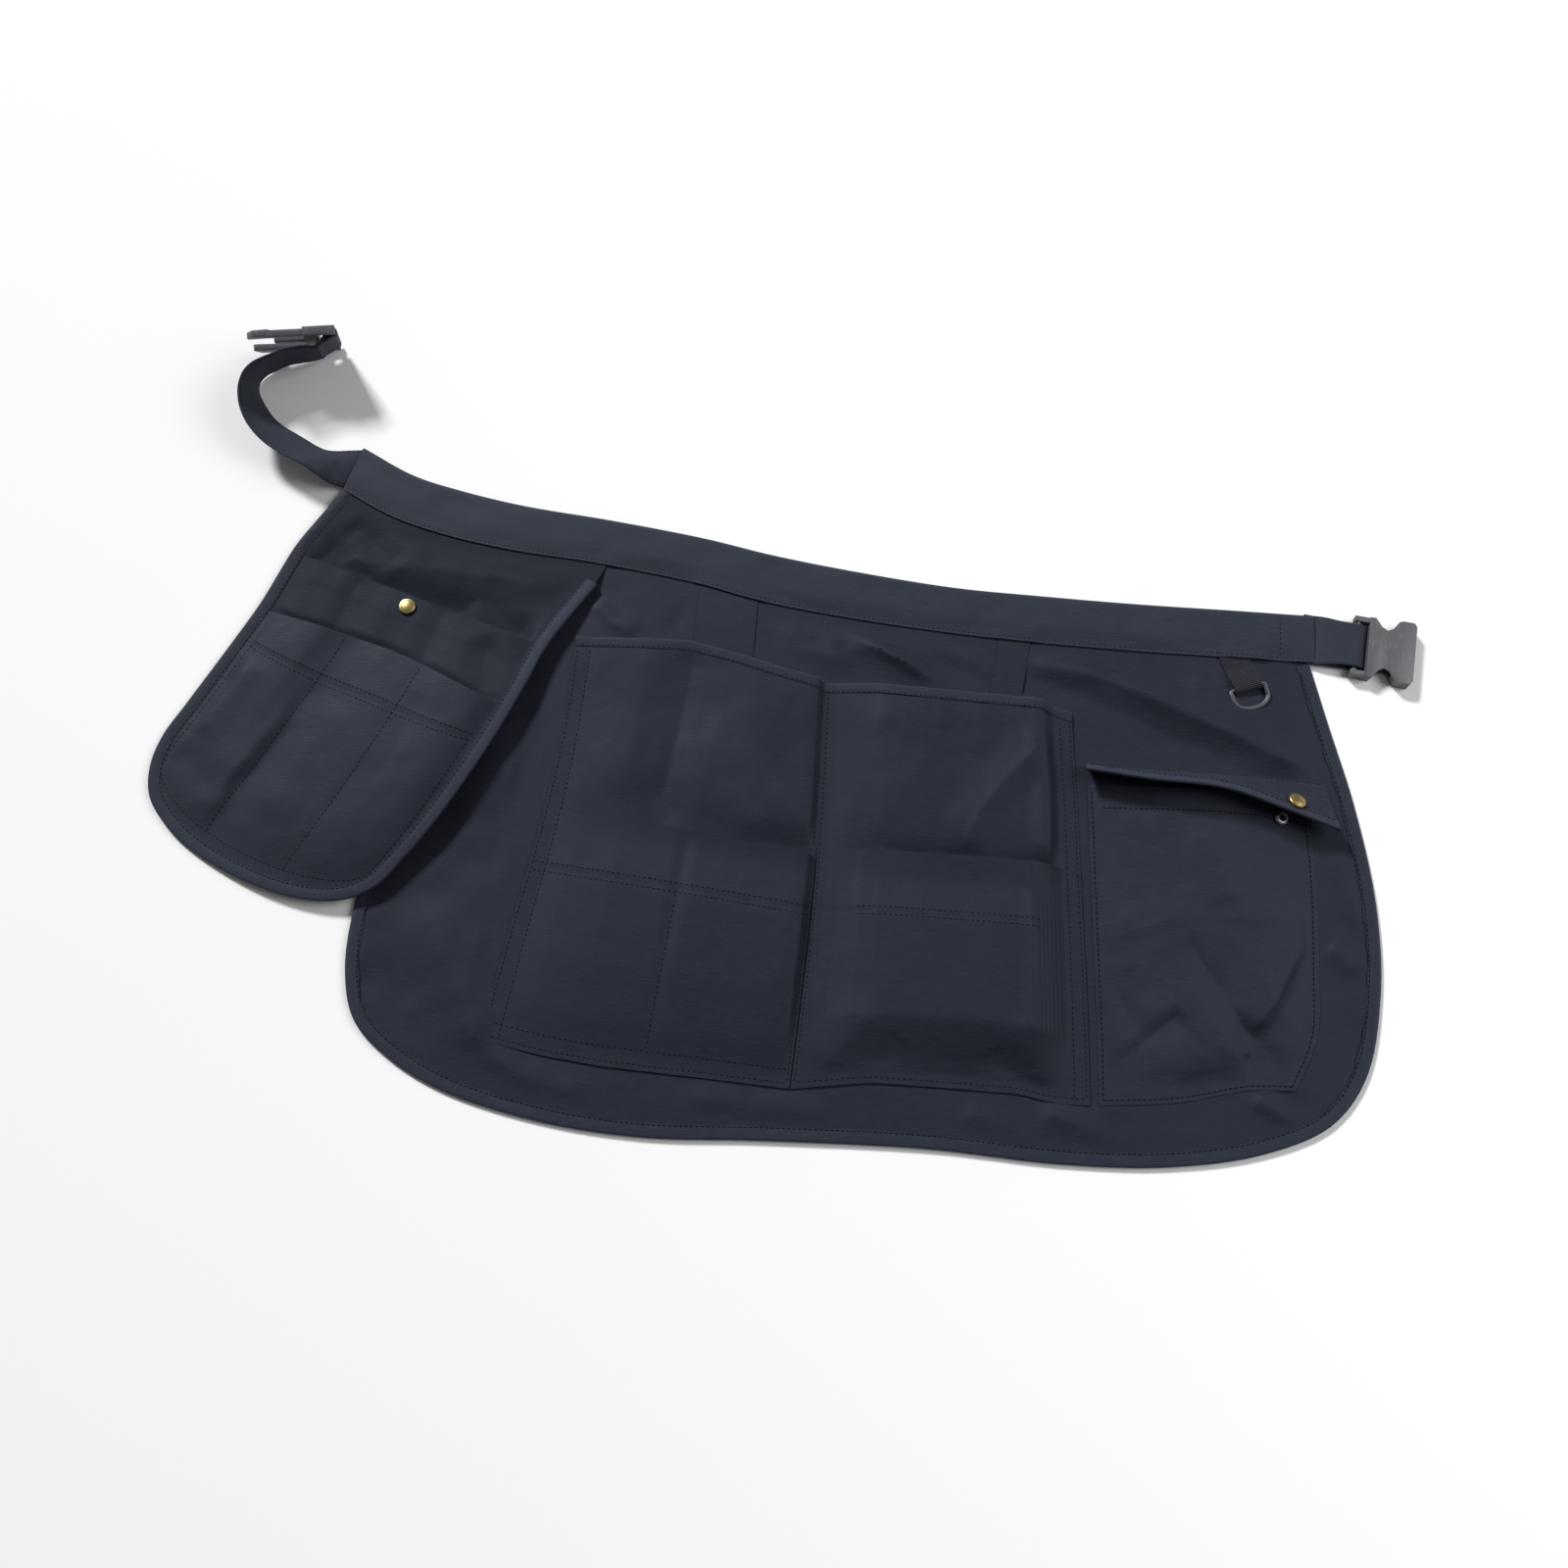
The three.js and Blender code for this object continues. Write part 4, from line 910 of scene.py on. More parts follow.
@dataclass(frozen=True)
class BrassFinish:
    """Pressed brass, dulled and a little stained."""

    name: str
    colour: Colour

    def material(self) -> Material:
        """Builds the material.

        Returns:
            The material.
        """
        shader = Shader(self.name)
        place = shader.place()
        stain = shader.noise(place, 600.0, 5.0)
        brushed = shader.noise(shader.scaled(place, (1.0, 6.0, 1.0)), 900.0, 2.0)
        dark = shader.ranged(stain, (0.42, 0.72), (0.0, 0.75))
        shader.coat("Base Color", shader.mixed(dark, grey(self.colour, 1.1), grey(self.colour, 0.45)))
        shader.coat("Roughness", shader.ranged(stain, (0.3, 0.7), (0.28, 0.5)))
        shader.constants({"Metallic": 1.0})
        shader.bumped([(brushed, 0.15, 0.0001)])
        return shader.material


@dataclass(frozen=True)
class FloorFinish:
    """A pale matt floor with the faintest mottling."""

    name: str
    colour: Colour

    def material(self) -> Material:
        """Builds the material.

        Returns:
            The material.
        """
        shader = Shader(self.name)
        place = shader.place()
        mottle = shader.noise(place, 3.0, 3.0)
        tone = shader.mixed(mottle, grey(self.colour, 0.99), grey(self.colour, 1.0))
        shader.coat("Base Color", tone)
        shader.constants({"Roughness": 0.9, "Specular IOR Level": 0.1})
        return shader.material


class Wardrobe:
    """All the finishes, each made once, and the dressing of a piece with one of them."""

    def __init__(self) -> None:
        """Makes the materials."""
        finishes = {
            Slot.PANEL: ClothFinish("panel_weave", (0.0124, 0.0141, 0.0226)),
            Slot.POCKET: ClothFinish("pocket_weave", (0.0122, 0.0140, 0.0222)),
            Slot.BAND: ClothFinish("band_weave", (0.0205, 0.0228, 0.0330), roughness=0.64, crumple=0.05),
            Slot.TAPE: ClothFinish(
                "tape_weave", (0.0172, 0.0194, 0.0292), yarn=0.9, roughness=0.64, crumple=0.05
            ),
            Slot.WEBBING: WebbingFinish("ribbed_webbing", (0.0135, 0.0155, 0.024)),
            Slot.PLASTIC: PlasticFinish("moulded_plastic", (0.088, 0.094, 0.103)),
            Slot.BRASS: BrassFinish("dulled_brass", (0.42, 0.33, 0.13)),
        }
        self.materials = {slot: finish.material() for slot, finish in finishes.items()}
        self.pouch = ClothFinish("pouch_weave", (0.0120, 0.0135, 0.0200), gloss=0.12).material()
        # A darker copy of the pocket cloth for the pouch panel: painted shade, not a different cloth.
        self.shaded = ClothFinish("pouch_panel_painted_shade_weave", (0.0090, 0.0104, 0.0163), gloss=0.12).material()
        # A paler copy of the pocket cloth for the flap pocket and its flap: painted light for the brighter
        # right side, not a different cloth.
        self.pale = ClothFinish("flap_pocket_painted_light_weave", (0.0156, 0.0177, 0.0272), gloss=0.18).material()
        self.ring = PlasticFinish("ring_plastic", (0.060, 0.065, 0.078)).material()
        self.nickel = BrassFinish("dulled_nickel", (0.36, 0.36, 0.34)).material()
        # Thread darker than the cloth: partly its own dark colour, partly painted shade of the stitch
        # dimples.
        self.thread = ThreadFinish("sewing_thread_with_painted_shade", (0.0035, 0.004, 0.006)).material()

    def dress(
        self, obj: Object, slot: Slot, body: Body, *nodes: str, look: Material | None = None
    ) -> Object:
        """Gives a piece its finish and its place in the frame.

        Args:
            obj: The piece.
            slot: The slot that it belongs to.
            body: The body that it moves with.
            *nodes: The solids that it stands for.
            look: The material that it has, when that isn't its slot's own.

        Returns:
            The piece.
        """
        obj.data.materials.append(look or self.materials[slot])
        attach(obj, body.value)
        if nodes:
            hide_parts(*nodes)
        LOG.info("%s: %d faces on %s", obj.name, len(obj.data.polygons), body.value)
        return obj

    def stitch(
        self, name: str, lines: Sequence[Line], slot: Slot, sewing: Stitching | None = None
    ) -> Object:
        """Sews lines of stitches onto the apron.

        Args:
            name: Name of the piece.
            lines: The lines, as Stitching.sew takes them.
            slot: The slot of the cloth that they are sewn on.
            sewing: The stitches, when they aren't the usual ones.

        Returns:
            The piece.
        """
        return self.dress((sewing or Stitching()).sew(name, lines), slot, Body.APRON, look=self.thread)


# Waistband and panel


@dataclass
class Waistband:
    """The band folded over the apron's top, sewn down along its lower seam."""

    rows: Rows = (
        (-362, 184, -354, 221), (-322, 167.5, -312, 203.5), (-283, 158.5, -275, 196),
        (-230, 152.5, -225, 190), (-160, 150.5, -156, 187), (-90, 145.5, -85, 182), (-38, 137.5, -33, 175.5),
        (30, 133, 34, 170.5), (105, 131.5, 105, 168), (165, 132.5, 165, 170), (240, 136, 238, 173.5),
        (315, 141, 312, 178.5), (370, 144.5, 368, 182),
    )
    leg: float = 36.0
    height: float = 4.9
    wall: float = 1.0
    tuck: float = 16.0
    stations: int = 360
    seam_inset: float = 2.2
    end_seam: float = 0.962

    def __post_init__(self) -> None:
        """Makes the curves of the lower seam and the folded top."""
        self.low = Curve([row[:2] for row in self.rows])
        self.top = Curve([row[2:] for row in self.rows])
        self.ripple = Ripple(seed=3, rise=0.7, shortest=22, longest=120)
        self.drop = Profile(
            ((-362, 0), (-352, 0.7), (-150, 0.7), (-140, 1.4), (-88, 1.4), (-84, 0.6), (-36, 0.6), (-32, 1.4),
             (136, 1.4), (139, 0.6), (167, 0.6), (170, 1.4), (300, 1.4), (304, 0), (334, 0), (338, 1.4),
             (352, 1.4), (358, 0), (372, 0)),
            soft=2.5,
        )

    def inside(self, share: Array) -> Array:
        """Points inside the band, where what hangs from it is tucked.

        Args:
            share: Shares of the band's rows.

        Returns:
            Plan points.
        """
        seam = self.low.by_row(share)
        return seam + self.tuck * unit(self.top.by_row(share) - seam)

    def front(self, share: Array, inward: Array) -> Array:
        """Points on the band's front face.

        Args:
            share: Shares of the band's rows.
            inward: Distances from the fold.

        Returns:
            Plan points.
        """
        fold = self.top.by_row(share)
        flat = fold + (self.low.by_row(share) - fold) / self.leg * np.asarray(inward, float)[..., None]
        return raised(flat, self.height + self._relief(flat[..., 0], flat[..., 1], inward))

    def _relief(self, x: Array, y: Array, inward: Array) -> Array:
        """How far the front face stands off its plain height.

        Args:
            x: Plan X of the points.
            y: Plan Y of the points.
            inward: Distances from the fold.

        Returns:
            The heights.
        """
        inward = np.asarray(inward, float)
        puff = 0.3 * np.sin(math.pi * np.clip(inward / self.leg, 0.0, 1.0)) ** 0.8
        loose = smooth_share(inward, 2.0, 10.0) * smooth_share(self.leg - inward, 2.0, 8.0)
        soft = self.ripple.height(x, y) * loose
        seam = 0.25 * np.exp(-(((inward - self.leg + self.seam_inset) / 0.9) ** 2))
        return puff + soft - seam - self.drop(x) * smooth_share(inward, self.leg - 14.0, self.leg - 1.5)

    def build(self, wardrobe: Wardrobe) -> None:
        """Builds and dresses the band and its seam.

        Args:
            wardrobe: The finishes.
        """
        share = np.linspace(0.0, 1.0, self.stations)
        fold = self.top.by_row(share)
        down = (self.low.by_row(share) - fold) / self.leg
        section = folded_section(self.leg, self.height, self.wall, steps=18)
        ring = np.vstack([section, section[:1]])
        points = fold[None] + ring[:, 0, None, None] * down[None] + ring[:, 1, None, None] * UP
        inward = np.broadcast_to(ring[:, :1], points.shape[:2])
        upper = smooth_share(ring[:, 1], self.height * 0.5, self.height * 0.75)[:, None]
        points = raised(points, upper * self._relief(points[..., 0], points[..., 1], inward))
        wear_and_highlight = np.exp(-((inward / 2.2) ** 2)) * 0.7
        band = finished("waistband_cloth", closed(laid_grid(points, Weave.PLAN, wear_and_highlight)))
        wardrobe.dress(band, Slot.BAND, Body.APRON, "waistband")
        seam = sewn_line(self.front, np.linspace(0.004, 0.996, 500), self.leg - self.seam_inset, 0.0)
        end = sewn_line(self.front, self.end_seam, np.linspace(3.0, self.leg - 3.0, 40), 0.0)
        sewn = wardrobe.stitch("waistband_stitching", [seam, end], Slot.BAND)


def hung_plan(
    piece: "ApronPanel | SidePouch", edge: Curve, tucked: Array, side_steps: int, foot_steps: int
) -> Patch:
    """The plan of cloth that is tucked into the band and bound round its other three sides.

    Args:
        piece: The piece, with its two upper corners, its inset and where its edge turns.
        edge: Its bound edge, from the left end of the band to the right.
        tucked: Plan points of its top, between its corners.
        side_steps: How many steps each side has.
        foot_steps: How many steps its foot has.

    Returns:
        The plan.
    """
    left = edge.stretch(0.0, piece.left_end, piece.inset, side_steps)
    left = np.vstack([[*piece.left_corner, 0.0], left])
    foot = edge.stretch(piece.left_end, piece.right_start, piece.inset, foot_steps)
    right = edge.stretch(piece.right_start, 1.0, piece.inset, side_steps)
    right = np.vstack([right, [*piece.right_corner, 0.0]])
    top = np.vstack([left[0], tucked, right[-1]])
    return Patch(Curve(top), Curve(foot), Curve(left), Curve(right[::-1]))


@dataclass(frozen=True)
class Tab:
    """A cloth tab: the solid it stands for, its plan sizes and how far it leans across on its way down."""

    node: str
    middle: float
    width: float
    top: float
    bottom: float
    lean: float


@dataclass
class ApronPanel:
    """The panel with its bound hem, and the two cloth tabs that hang from the band."""

    band: Waistband
    hem_rows: Rows = (
        (-218, 137), (-236, 90), (-262, 0), (-280, -90), (-284, -138), (-280, -178), (-267, -209),
        (-240, -230), (-198, -247.5), (-130, -258.6), (-60, -259.5), (20, -250.5), (130, -240.5), (220, -238),
        (290, -230), (352, -213), (396, -188), (418, -153), (426, -95), (421, -32),
        (403, 40), (382, 100), (367, 143.5),
    )
    left_end: float = 4 / 22
    right_start: float = 18 / 22
    left_corner: tuple[float, float] = (-208, 167)
    right_corner: tuple[float, float] = (362, 160)
    inset: float = 1.3
    tape_leg: float = 9.5
    tape_height: float = 3.6
    tape_wall: float = 0.85
    creases: tuple[Crease, ...] = (
        Crease(((146, 136), (193, 118), (222, 109), (273, 93), (316, 79), (378, 56)), 56, 20, 8.0, 1.0, 0.14),
        Crease(((205, 113), (235, 120), (264, 122), (290, 121)), 12, 20, -2.6, 1.1),
        Crease(((60, 112), (120, 102), (198, 97), (216, 99)), 16, 12, -1.1, 2.0),
        Crease(((-4, 142), (34, 122), (57, 110), (108, 87)), 34, 20, 3.8, 1.1, 0.3),
        Crease(((4, 138), (34, 122), (57, 110), (102, 90)), 12, 8, 4.2, 1.0, 0.25),
        Crease(((-6, 130), (12, 119), (30, 108)), 9, 8, 2.0, 1.0, 0.3),
        Crease(((-30, 126), (4, 108), (44, 92)), 24, 18, 2.8, 1.1, 0.3),
        Crease(((96, 132), (124, 115), (150, 92)), 20, 16, 3.2, 1.1, 0.3),
        Crease(((343, -174), (357, -184), (378, -193)), 12, 10, 3.2, 1.1),
        Crease(((352, -170), (376, -180), (400, -182)), 12, 10, -1.0, 2.0),
        Crease(((200, -204), (228, -212), (246, -232)), 20, 20, 2.8, 1.0),
        Crease(((150, -212), (170, -222), (180, -234)), 18, 14, 2.0, 1.1),
        Crease(((-40, -226), (10, -234), (70, -228)), 18, 12, 2.2, 1.1),
        Crease(((-160, 122), (-142, 106), (-122, 97)), 14, 10, 2.6, 1.0),
        Crease(((388, -62), (404, -78), (420, -72)), 16, 12, 2.6, 1.1),
        Crease(((394, 4), (402, -20), (408, -50)), 14, 14, 1.6, 1.6),
        Crease(((-240, -112), (-212, -160), (-172, -216)), 34, 30, 3.0, 1.1),
        Crease(((-196, 40), (-212, -20), (-222, -90)), 24, 24, 1.8, 1.6),
        Crease(((-200, -196), (-150, -232), (-90, -240)), 20, 16, 2.0, 1.1),
    )
    covers: Rows = (
        (-188, 246, -222, 104), (204, 396, -204, 60), (-90, -32, 60, 152), (134, 170, 56, 150),
        (296, 346, 92, 158),
    )
    tucked: tuple[float, float] = (0.28, 0.97)
    grid: tuple[int, int] = (225, 145)
    hem_stations: int = 640
    tabs: tuple[Tab, ...] = (
        Tab("tab_left", -61, 44, 141, 72, 0.06),
        Tab("tab_right", 152, 23, 134, 66, -0.05),
    )
    tab_tuck: float = 8.0
    tab_grid: tuple[int, int] = (24, 60)

    def __post_init__(self) -> None:
        """Makes the hem's curve and the panel's plan."""
        self.hem = Curve(self.hem_rows)
        tucked = self.band.inside(np.linspace(*self.tucked, 13)[1:-1])
        self.plan = hung_plan(self, self.hem, tucked, side_steps=12, foot_steps=48)
        self.ripple = Ripple(seed=11, rise=1.1, shortest=26, longest=120)

    def _bare(self, x: Array, y: Array) -> Array:
        """How bare the panel is at plan points, from 0 under a pocket to 1 in the open.

        Args:
            x: Plan X of the points.
            y: Plan Y of the points.

        Returns:
            The shares.
        """
        bare = np.ones(np.shape(x))
        for low_x, high_x, low_y, high_y in self.covers:
            outside = np.maximum(np.maximum(low_x - x, x - high_x), np.maximum(low_y - y, y - high_y))
            bare = bare * smooth_share(outside, -4.0, 8.0)
        return bare

    def build(self, wardrobe: Wardrobe) -> None:
        """Builds and dresses the panel, its hem and the tabs.

        Args:
            wardrobe: The finishes.
        """
        u, v = shares(*self.grid)
        flat = self.plan(u, v)
        x, y = flat[..., 0], flat[..., 1]
        edge = np.minimum(np.minimum(u, 1 - u) * 640, (1 - v) * 400)
        loose = smooth_share(edge, 9.0, 30.0) * smooth_share(v, 0.055, 0.11)
        height = loose * (self._bare(x, y) * self.ripple.height(x, y) + creased(self.creases, x, y))
        panel = cloth("panel_sheet", raised(flat, PANEL_TOP + np.maximum(height, -1.1)), PANEL_WALL)
        wardrobe.dress(panel, Slot.PANEL, Body.APRON, "apron_panel")
        hem = self._hem(wardrobe)
        for tab in self.tabs:
            self._tab(wardrobe, tab)

    def _hem(self, wardrobe: Wardrobe) -> list[Object]:
        """Builds and dresses the tape round the hem.

        Args:
            wardrobe: The finishes.

        Returns:
            The tape and its stitches.
        """
        share = np.linspace(0.0, 1.0, self.hem_stations)
        inward = side_ways(self.hem.tangent(share))
        wobble = 1.0 + 0.04 * np.sin(share * 170.0) + 0.03 * np.sin(share * 410.0 + 1.0)
        section = folded_section(self.tape_leg, self.tape_height, self.tape_wall, steps=5, end_drop=0.3)
        wear_and_highlight = np.exp(-((section[:, 0] / 1.6) ** 2))
        at = self.hem.by_row(share)
        tape = swept("hem_tape", at, inward * wobble[:, None], np.broadcast_to(UP, at.shape), section, wear_and_highlight)
        wardrobe.dress(tape, Slot.TAPE, Body.APRON, "hem_binding")
        top = self.tape_height - 0.3 + 0.03
        line = at + (self.tape_leg - 0.9) * inward + top * UP
        sewn = wardrobe.stitch("hem_stitching", [lying(line[4:-4])], Slot.TAPE, STITCH_AND_SHADOW_LINE)
        return [tape, sewn]

    def _tab(self, wardrobe: Wardrobe, tab: Tab) -> None:
        """Builds and dresses one cloth tab.

        Args:
            wardrobe: The finishes.
            tab: The tab.
        """
        u, v = shares(*self.tab_grid)
        tucked = tab.top + self.tab_tuck
        y = tucked * (1 - v) + tab.bottom * v
        x = tab.middle + (u - 0.5) * tab.width + tab.lean * (tab.top - y)
        lift = 0.5 * np.sin(math.pi * np.clip((v - 0.15) / 0.6, 0.0, 1.0))
        flat = np.stack([x, y, np.zeros(x.shape)], -1)
        sheet = cloth(f"{tab.node}_cloth", raised(flat, ON_PANEL + WALL + lift), WALL)
        wardrobe.dress(sheet, Slot.BAND, Body.APRON, tab.node, look=wardrobe.materials[Slot.PANEL])


# Side pouch


@dataclass
class SidePouch:
    """The pouch that hangs from the band's left end and has swung out over the panel's edge."""

    band: Waistband
    edge_rows: Rows = (
        (-362.3, 184), (-377, 155), (-388, 132), (-402.5, 85), (-415, 53), (-437, 0), (-448, -27),
        (-451, -50), (-446, -72), (-430, -91), (-407, -107), (-360, -125.5), (-321, -132), (-291, -129),
        (-270, -117), (-255, -96), (-240, -71), (-221, -31), (-207, 4), (-195, 40), (-185, 75),
        (-172, 104), (-158, 132),
    )
    left_end: float = 7 / 22
    right_start: float = 14 / 22
    left_corner: tuple[float, float] = (-357, 196)
    right_corner: tuple[float, float] = (-150, 166)
    inset: float = 2.2
    panel_top: float = 0.3
    lowest: float = 0.8
    hem_under: float = 3.9
    tape_under: float = 1.0
    tape_leg: float = 9.5
    tape_height: float = 2.7
    tape_wall: float = 0.7
    tier_inset: float = 5.5
    tier_seat: float = 0.6
    tier_bulge: float = 3.6
    low_bulge: float = 5.0
    dip: float = 2.4
    tier_left: tuple[float, float] = (2.05 / 22, 7 / 22)
    tier_right: tuple[float, float] = (14 / 22, 20 / 22)
    low_mouth: float = 0.26
    arch: float = 0.065
    arch_until: float = 0.56
    snap_at: tuple[float, float] = (0.485, 0.04)
    tucked: tuple[float, ...] = (0.07, 0.13, 0.19, 0.25)
    grid: tuple[int, int] = (110, 140)
    tier_grid: tuple[int, int] = (130, 110)
    tape_stations: int = 460
    creases: tuple[Crease, ...] = (
        Crease(((-380, 162), (-364, 146), (-350, 122)), 22, 14, -1.9, 1.2),
        Crease(((-354, 160), (-332, 145), (-308, 122)), 24, 16, -2.2, 1.2),
        Crease(((-356, 130), (-319, 127), (-239, 128), (-172, 126)), 30, 22, 2.8, 1.4, 0.22),
        Crease(((-340, 114), (-281, 101), (-240, 92), (-176, 78)), 20, 14, -3.0, 1.0, 0.12),
        Crease(((-290, 103), (-240, 92), (-172, 77)), 36, 14, -3.0, 1.1, 0.3),
        Crease(((-390, 126), (-362, 121), (-326, 111)), 16, 10, -2.6, 1.0, 0.1),
    )
    upper_creases: tuple[Crease, ...] = (
        Crease(((-234, 80), (-223, 55), (-212, 30)), 18, 22, -2.2, 1.5, 0.3),
        Crease(((-262, 104), (-268, 76), (-274, 46)), 14, 20, -1.6, 1.1),
        Crease(((-330, 118), (-339, 90), (-346, 60)), 20, 14, -1.4, 1.1),
        Crease(((-302, 110), (-312, 80), (-318, 56)), 20, 16, 1.2, 1.3),
    )
    lower_creases: tuple[Crease, ...] = (
        Crease(((-446, -30), (-420, -46), (-394, -72)), 26, 22, -1.4, 1.4, 0.35),
        Crease(((-398, 44), (-412, 4), (-424, -24)), 20, 18, 1.6, 1.3),
        Crease(((-262, 30), (-272, -6), (-288, -50)), 22, 18, -0.9, 1.3),
        Crease(((-330, 20), (-344, -30), (-360, -84)), 26, 24, 1.2, 1.4),
    )

    def __post_init__(self) -> None:
        """Makes the pouch's curves, plans and height tables."""
        self.edge = Curve(self.edge_rows)
        tucked = self.band.inside(np.array(self.tucked))
        self.plan = hung_plan(self, self.edge, tucked, side_steps=10, foot_steps=10)
        steps = 8
        tier_left = self.edge.stretch(*self.tier_left, self.tier_inset, steps)
        tier_low = self.edge.stretch(self.tier_left[1], self.tier_right[0], self.tier_inset, steps)
        tier_right = self.edge.stretch(*self.tier_right, self.tier_inset, steps)[::-1]
        mouth = Curve([tier_left[0], tier_right[0]])
        self.tier_plan = Patch(mouth, Curve(tier_low), Curve(tier_left), Curve(tier_right))
        self.base = Profile(((-140, 1.7), (122, 1.7), (148, 2.6), (230, 2.6)), soft=3.0)
        self.lift = Profile(
            ((-140, 6), (-118, 8.5), (-75, 12.5), (-20, 14.5), (40, 13.5), (100, 8.5), (136, 3.6), (148, 0),
             (230, 0)),
            soft=5.0,
        )
        self.across = Profile(
            ((0, 0), (0.035, 0), (0.1, 0.5), (0.25, 0.9), (0.5, 1), (0.75, 0.9), (0.9, 0.5), (0.965, 0),
             (1, 0)),
            soft=0.012,
        )
        self.mouth_across = Profile(
            ((0, 0), (0.035, 0), (0.1, 0.5), (0.2, 0.95), (0.25, 1.0), (0.37, 0.3), (0.42, 0.32),
             (0.52, 0.58), (0.6, 0.62), (0.66, 0.45), (0.76, 0.6), (0.86, 0.5), (0.94, 0.2), (0.965, 0),
             (1, 0)),
            soft=0.016,
        )
        self.foot_across = Profile(
            ((0, 0), (0.035, 0), (0.12, 0.3), (0.22, 0.6), (0.305, 0.95), (0.318, 0.92), (0.352, 0.1),
             (0.38, 0.12), (0.46, 0.42), (0.56, 0.58), (0.63, 0.55), (0.652, 0.4), (0.675, 0.44),
             (0.75, 0.55), (0.85, 0.5), (0.93, 0.2), (0.965, 0), (1, 0)),
            soft=0.009,
        )
        self.down = Profile(((0, 1), (0.3, 0.9), (0.6, 0.55), (0.85, 0.2), (0.962, 0), (1, 0)), soft=0.02)
        self.low_down = Profile(
            ((0, 0.9), (0.45, 1), (0.75, 0.85), (0.88, 0.5), (0.962, 0), (1, 0)), soft=0.015
        )
        self.ripple = Ripple(seed=23, rise=0.5, shortest=18, longest=80)

    def floor(self, x: Array, y: Array) -> Array:
        """Heights of the pouch panel's underside.

        Args:
            x: Plan X of the points.
            y: Plan Y of the points.

        Returns:
            The heights.
        """
        left = -363 + (y - 183) * 0.358
        right = -150 + (y - 149) * 0.44
        return self.base(y) + self.lift(y) * smooth_share((x - left) / (right - left), 0.22, 1.1)

    def _on_floor(self, plan: Array, height: Array) -> Array:
        """Plan points set a height over the pouch panel's underside."""
        return raised(plan, self.floor(plan[..., 0], plan[..., 1]) + height)

    def upper(self, u: Array, v: Array) -> Array:
        """Plan points of the upper pocket's face at shares across and down."""
        return self._on_floor(self.tier_plan(u, v), self._upper_height(u, v))

    def _upper_height(self, u: Array, v: Array, creased_too: bool = True) -> Array:
        """Heights of the upper pocket's face over the pouch panel's underside.

        Args:
            u: Shares across.
            v: Shares down.
            creased_too: Whether the pocket's creases count.

        Returns:
            The heights.
        """
        hem = 0.3 * (1 - smooth_share(v, 0.075, 0.09)) * smooth_share(np.minimum(u, 1 - u), 0.03, 0.06)
        full = self.across(u) * self.down(v)
        soft = np.zeros(np.shape(u))
        if creased_too:
            plan = self.tier_plan(u, v)
            x, y = plan[..., 0], plan[..., 1]
            soft = creased(self.upper_creases, x, y) + 0.7 * self.ripple.height(x + 300, y)
            mouth = self.low_mouth - self.arch * np.sin(math.pi * u)
            dip = self.dip * smooth_share(v, mouth - 0.03, mouth + 0.012)
            soft = soft * np.clip(2.0 * full, 0.0, 1.0) - dip
        return self.tier_seat + np.maximum(self.tier_bulge * full + soft, 0.0) + hem

    def lower(self, u: Array, v: Array) -> Array:
        """The lower pocket's face, whose mouth arches up in the middle.

        Args:
            u: Shares across.
            v: Shares down, from the low mouth on.

        Returns:
            Plan points.
        """
        share = np.maximum(0.0, (self.arch_until - v) / (self.arch_until - self.low_mouth))
        arched = v - self.arch * np.sin(math.pi * u) * share
        inside = smooth_share(np.minimum(u, 1 - u), 0.03, 0.06)
        hem = 0.4 * (1 - smooth_share(v - self.low_mouth, 0.125, 0.138)) * inside
        plan = self.tier_plan(u, arched)
        low = smooth_share(v, 0.35, 0.75)
        wander = u + 0.006 * np.sin(19.0 * v) + 0.004 * np.sin(41.0 * v + 1.0)
        full = self.mouth_across(wander) * (1 - low) + self.foot_across(wander) * low
        full = full * self.low_down(arched)
        soft = creased(self.lower_creases, plan[..., 0], plan[..., 1])
        soft = soft + kept_up(self.ripple.height(plan[..., 0], plan[..., 1] + 500))
        soft = soft * smooth_share(np.minimum(u, 1 - u), 0.04, 0.12) * (1 - smooth_share(v, 0.85, 0.95))
        bulge = np.maximum(self.low_bulge * full + soft, 0.0)
        return self._on_floor(plan, self._upper_height(u, arched, False) + 0.5 * STACK + bulge + hem)

    def build(self, wardrobe: Wardrobe) -> None:
        """Builds and dresses the pouch.

        Args:
            wardrobe: The finishes.
        """
        u, v = shares(*self.grid)
        flat = self.plan(u, v)
        x, y = flat[..., 0], flat[..., 1]
        edge = np.minimum(np.minimum(u, 1 - u) * 210, (1 - v) * 300)
        loose = smooth_share(edge, 10.0, 26.0) * smooth_share(v, 0.07, 0.13)
        behind = smooth_share(y - 128.0 + 0.222 * (x + 380.0), -24.0, -10.0)
        soft = loose * (creased(self.creases, x, y) + self.ripple.height(x, y)) * behind
        sheet = self._on_floor(flat, self.panel_top + soft)
        over_hem = smooth_share(x, -258.0, -240.0) * (1 - smooth_share(y, 112.0, 130.0))
        lowest = self.lowest + self.hem_under * over_hem
        sheet[..., 2] = np.maximum(sheet[..., 2], lowest)
        panel = cloth("pouch_sheet", sheet, WALL)
        # The pouch panel wears the darker copy of the cloth: painted shade over the whole panel, most telling
        # in the hollow behind the upper pocket's mouth.
        wardrobe.dress(panel, Slot.POCKET, Body.APRON, "pouch_panel", look=wardrobe.shaded)
        tape = self._tape(wardrobe)
        self._tiers(wardrobe)

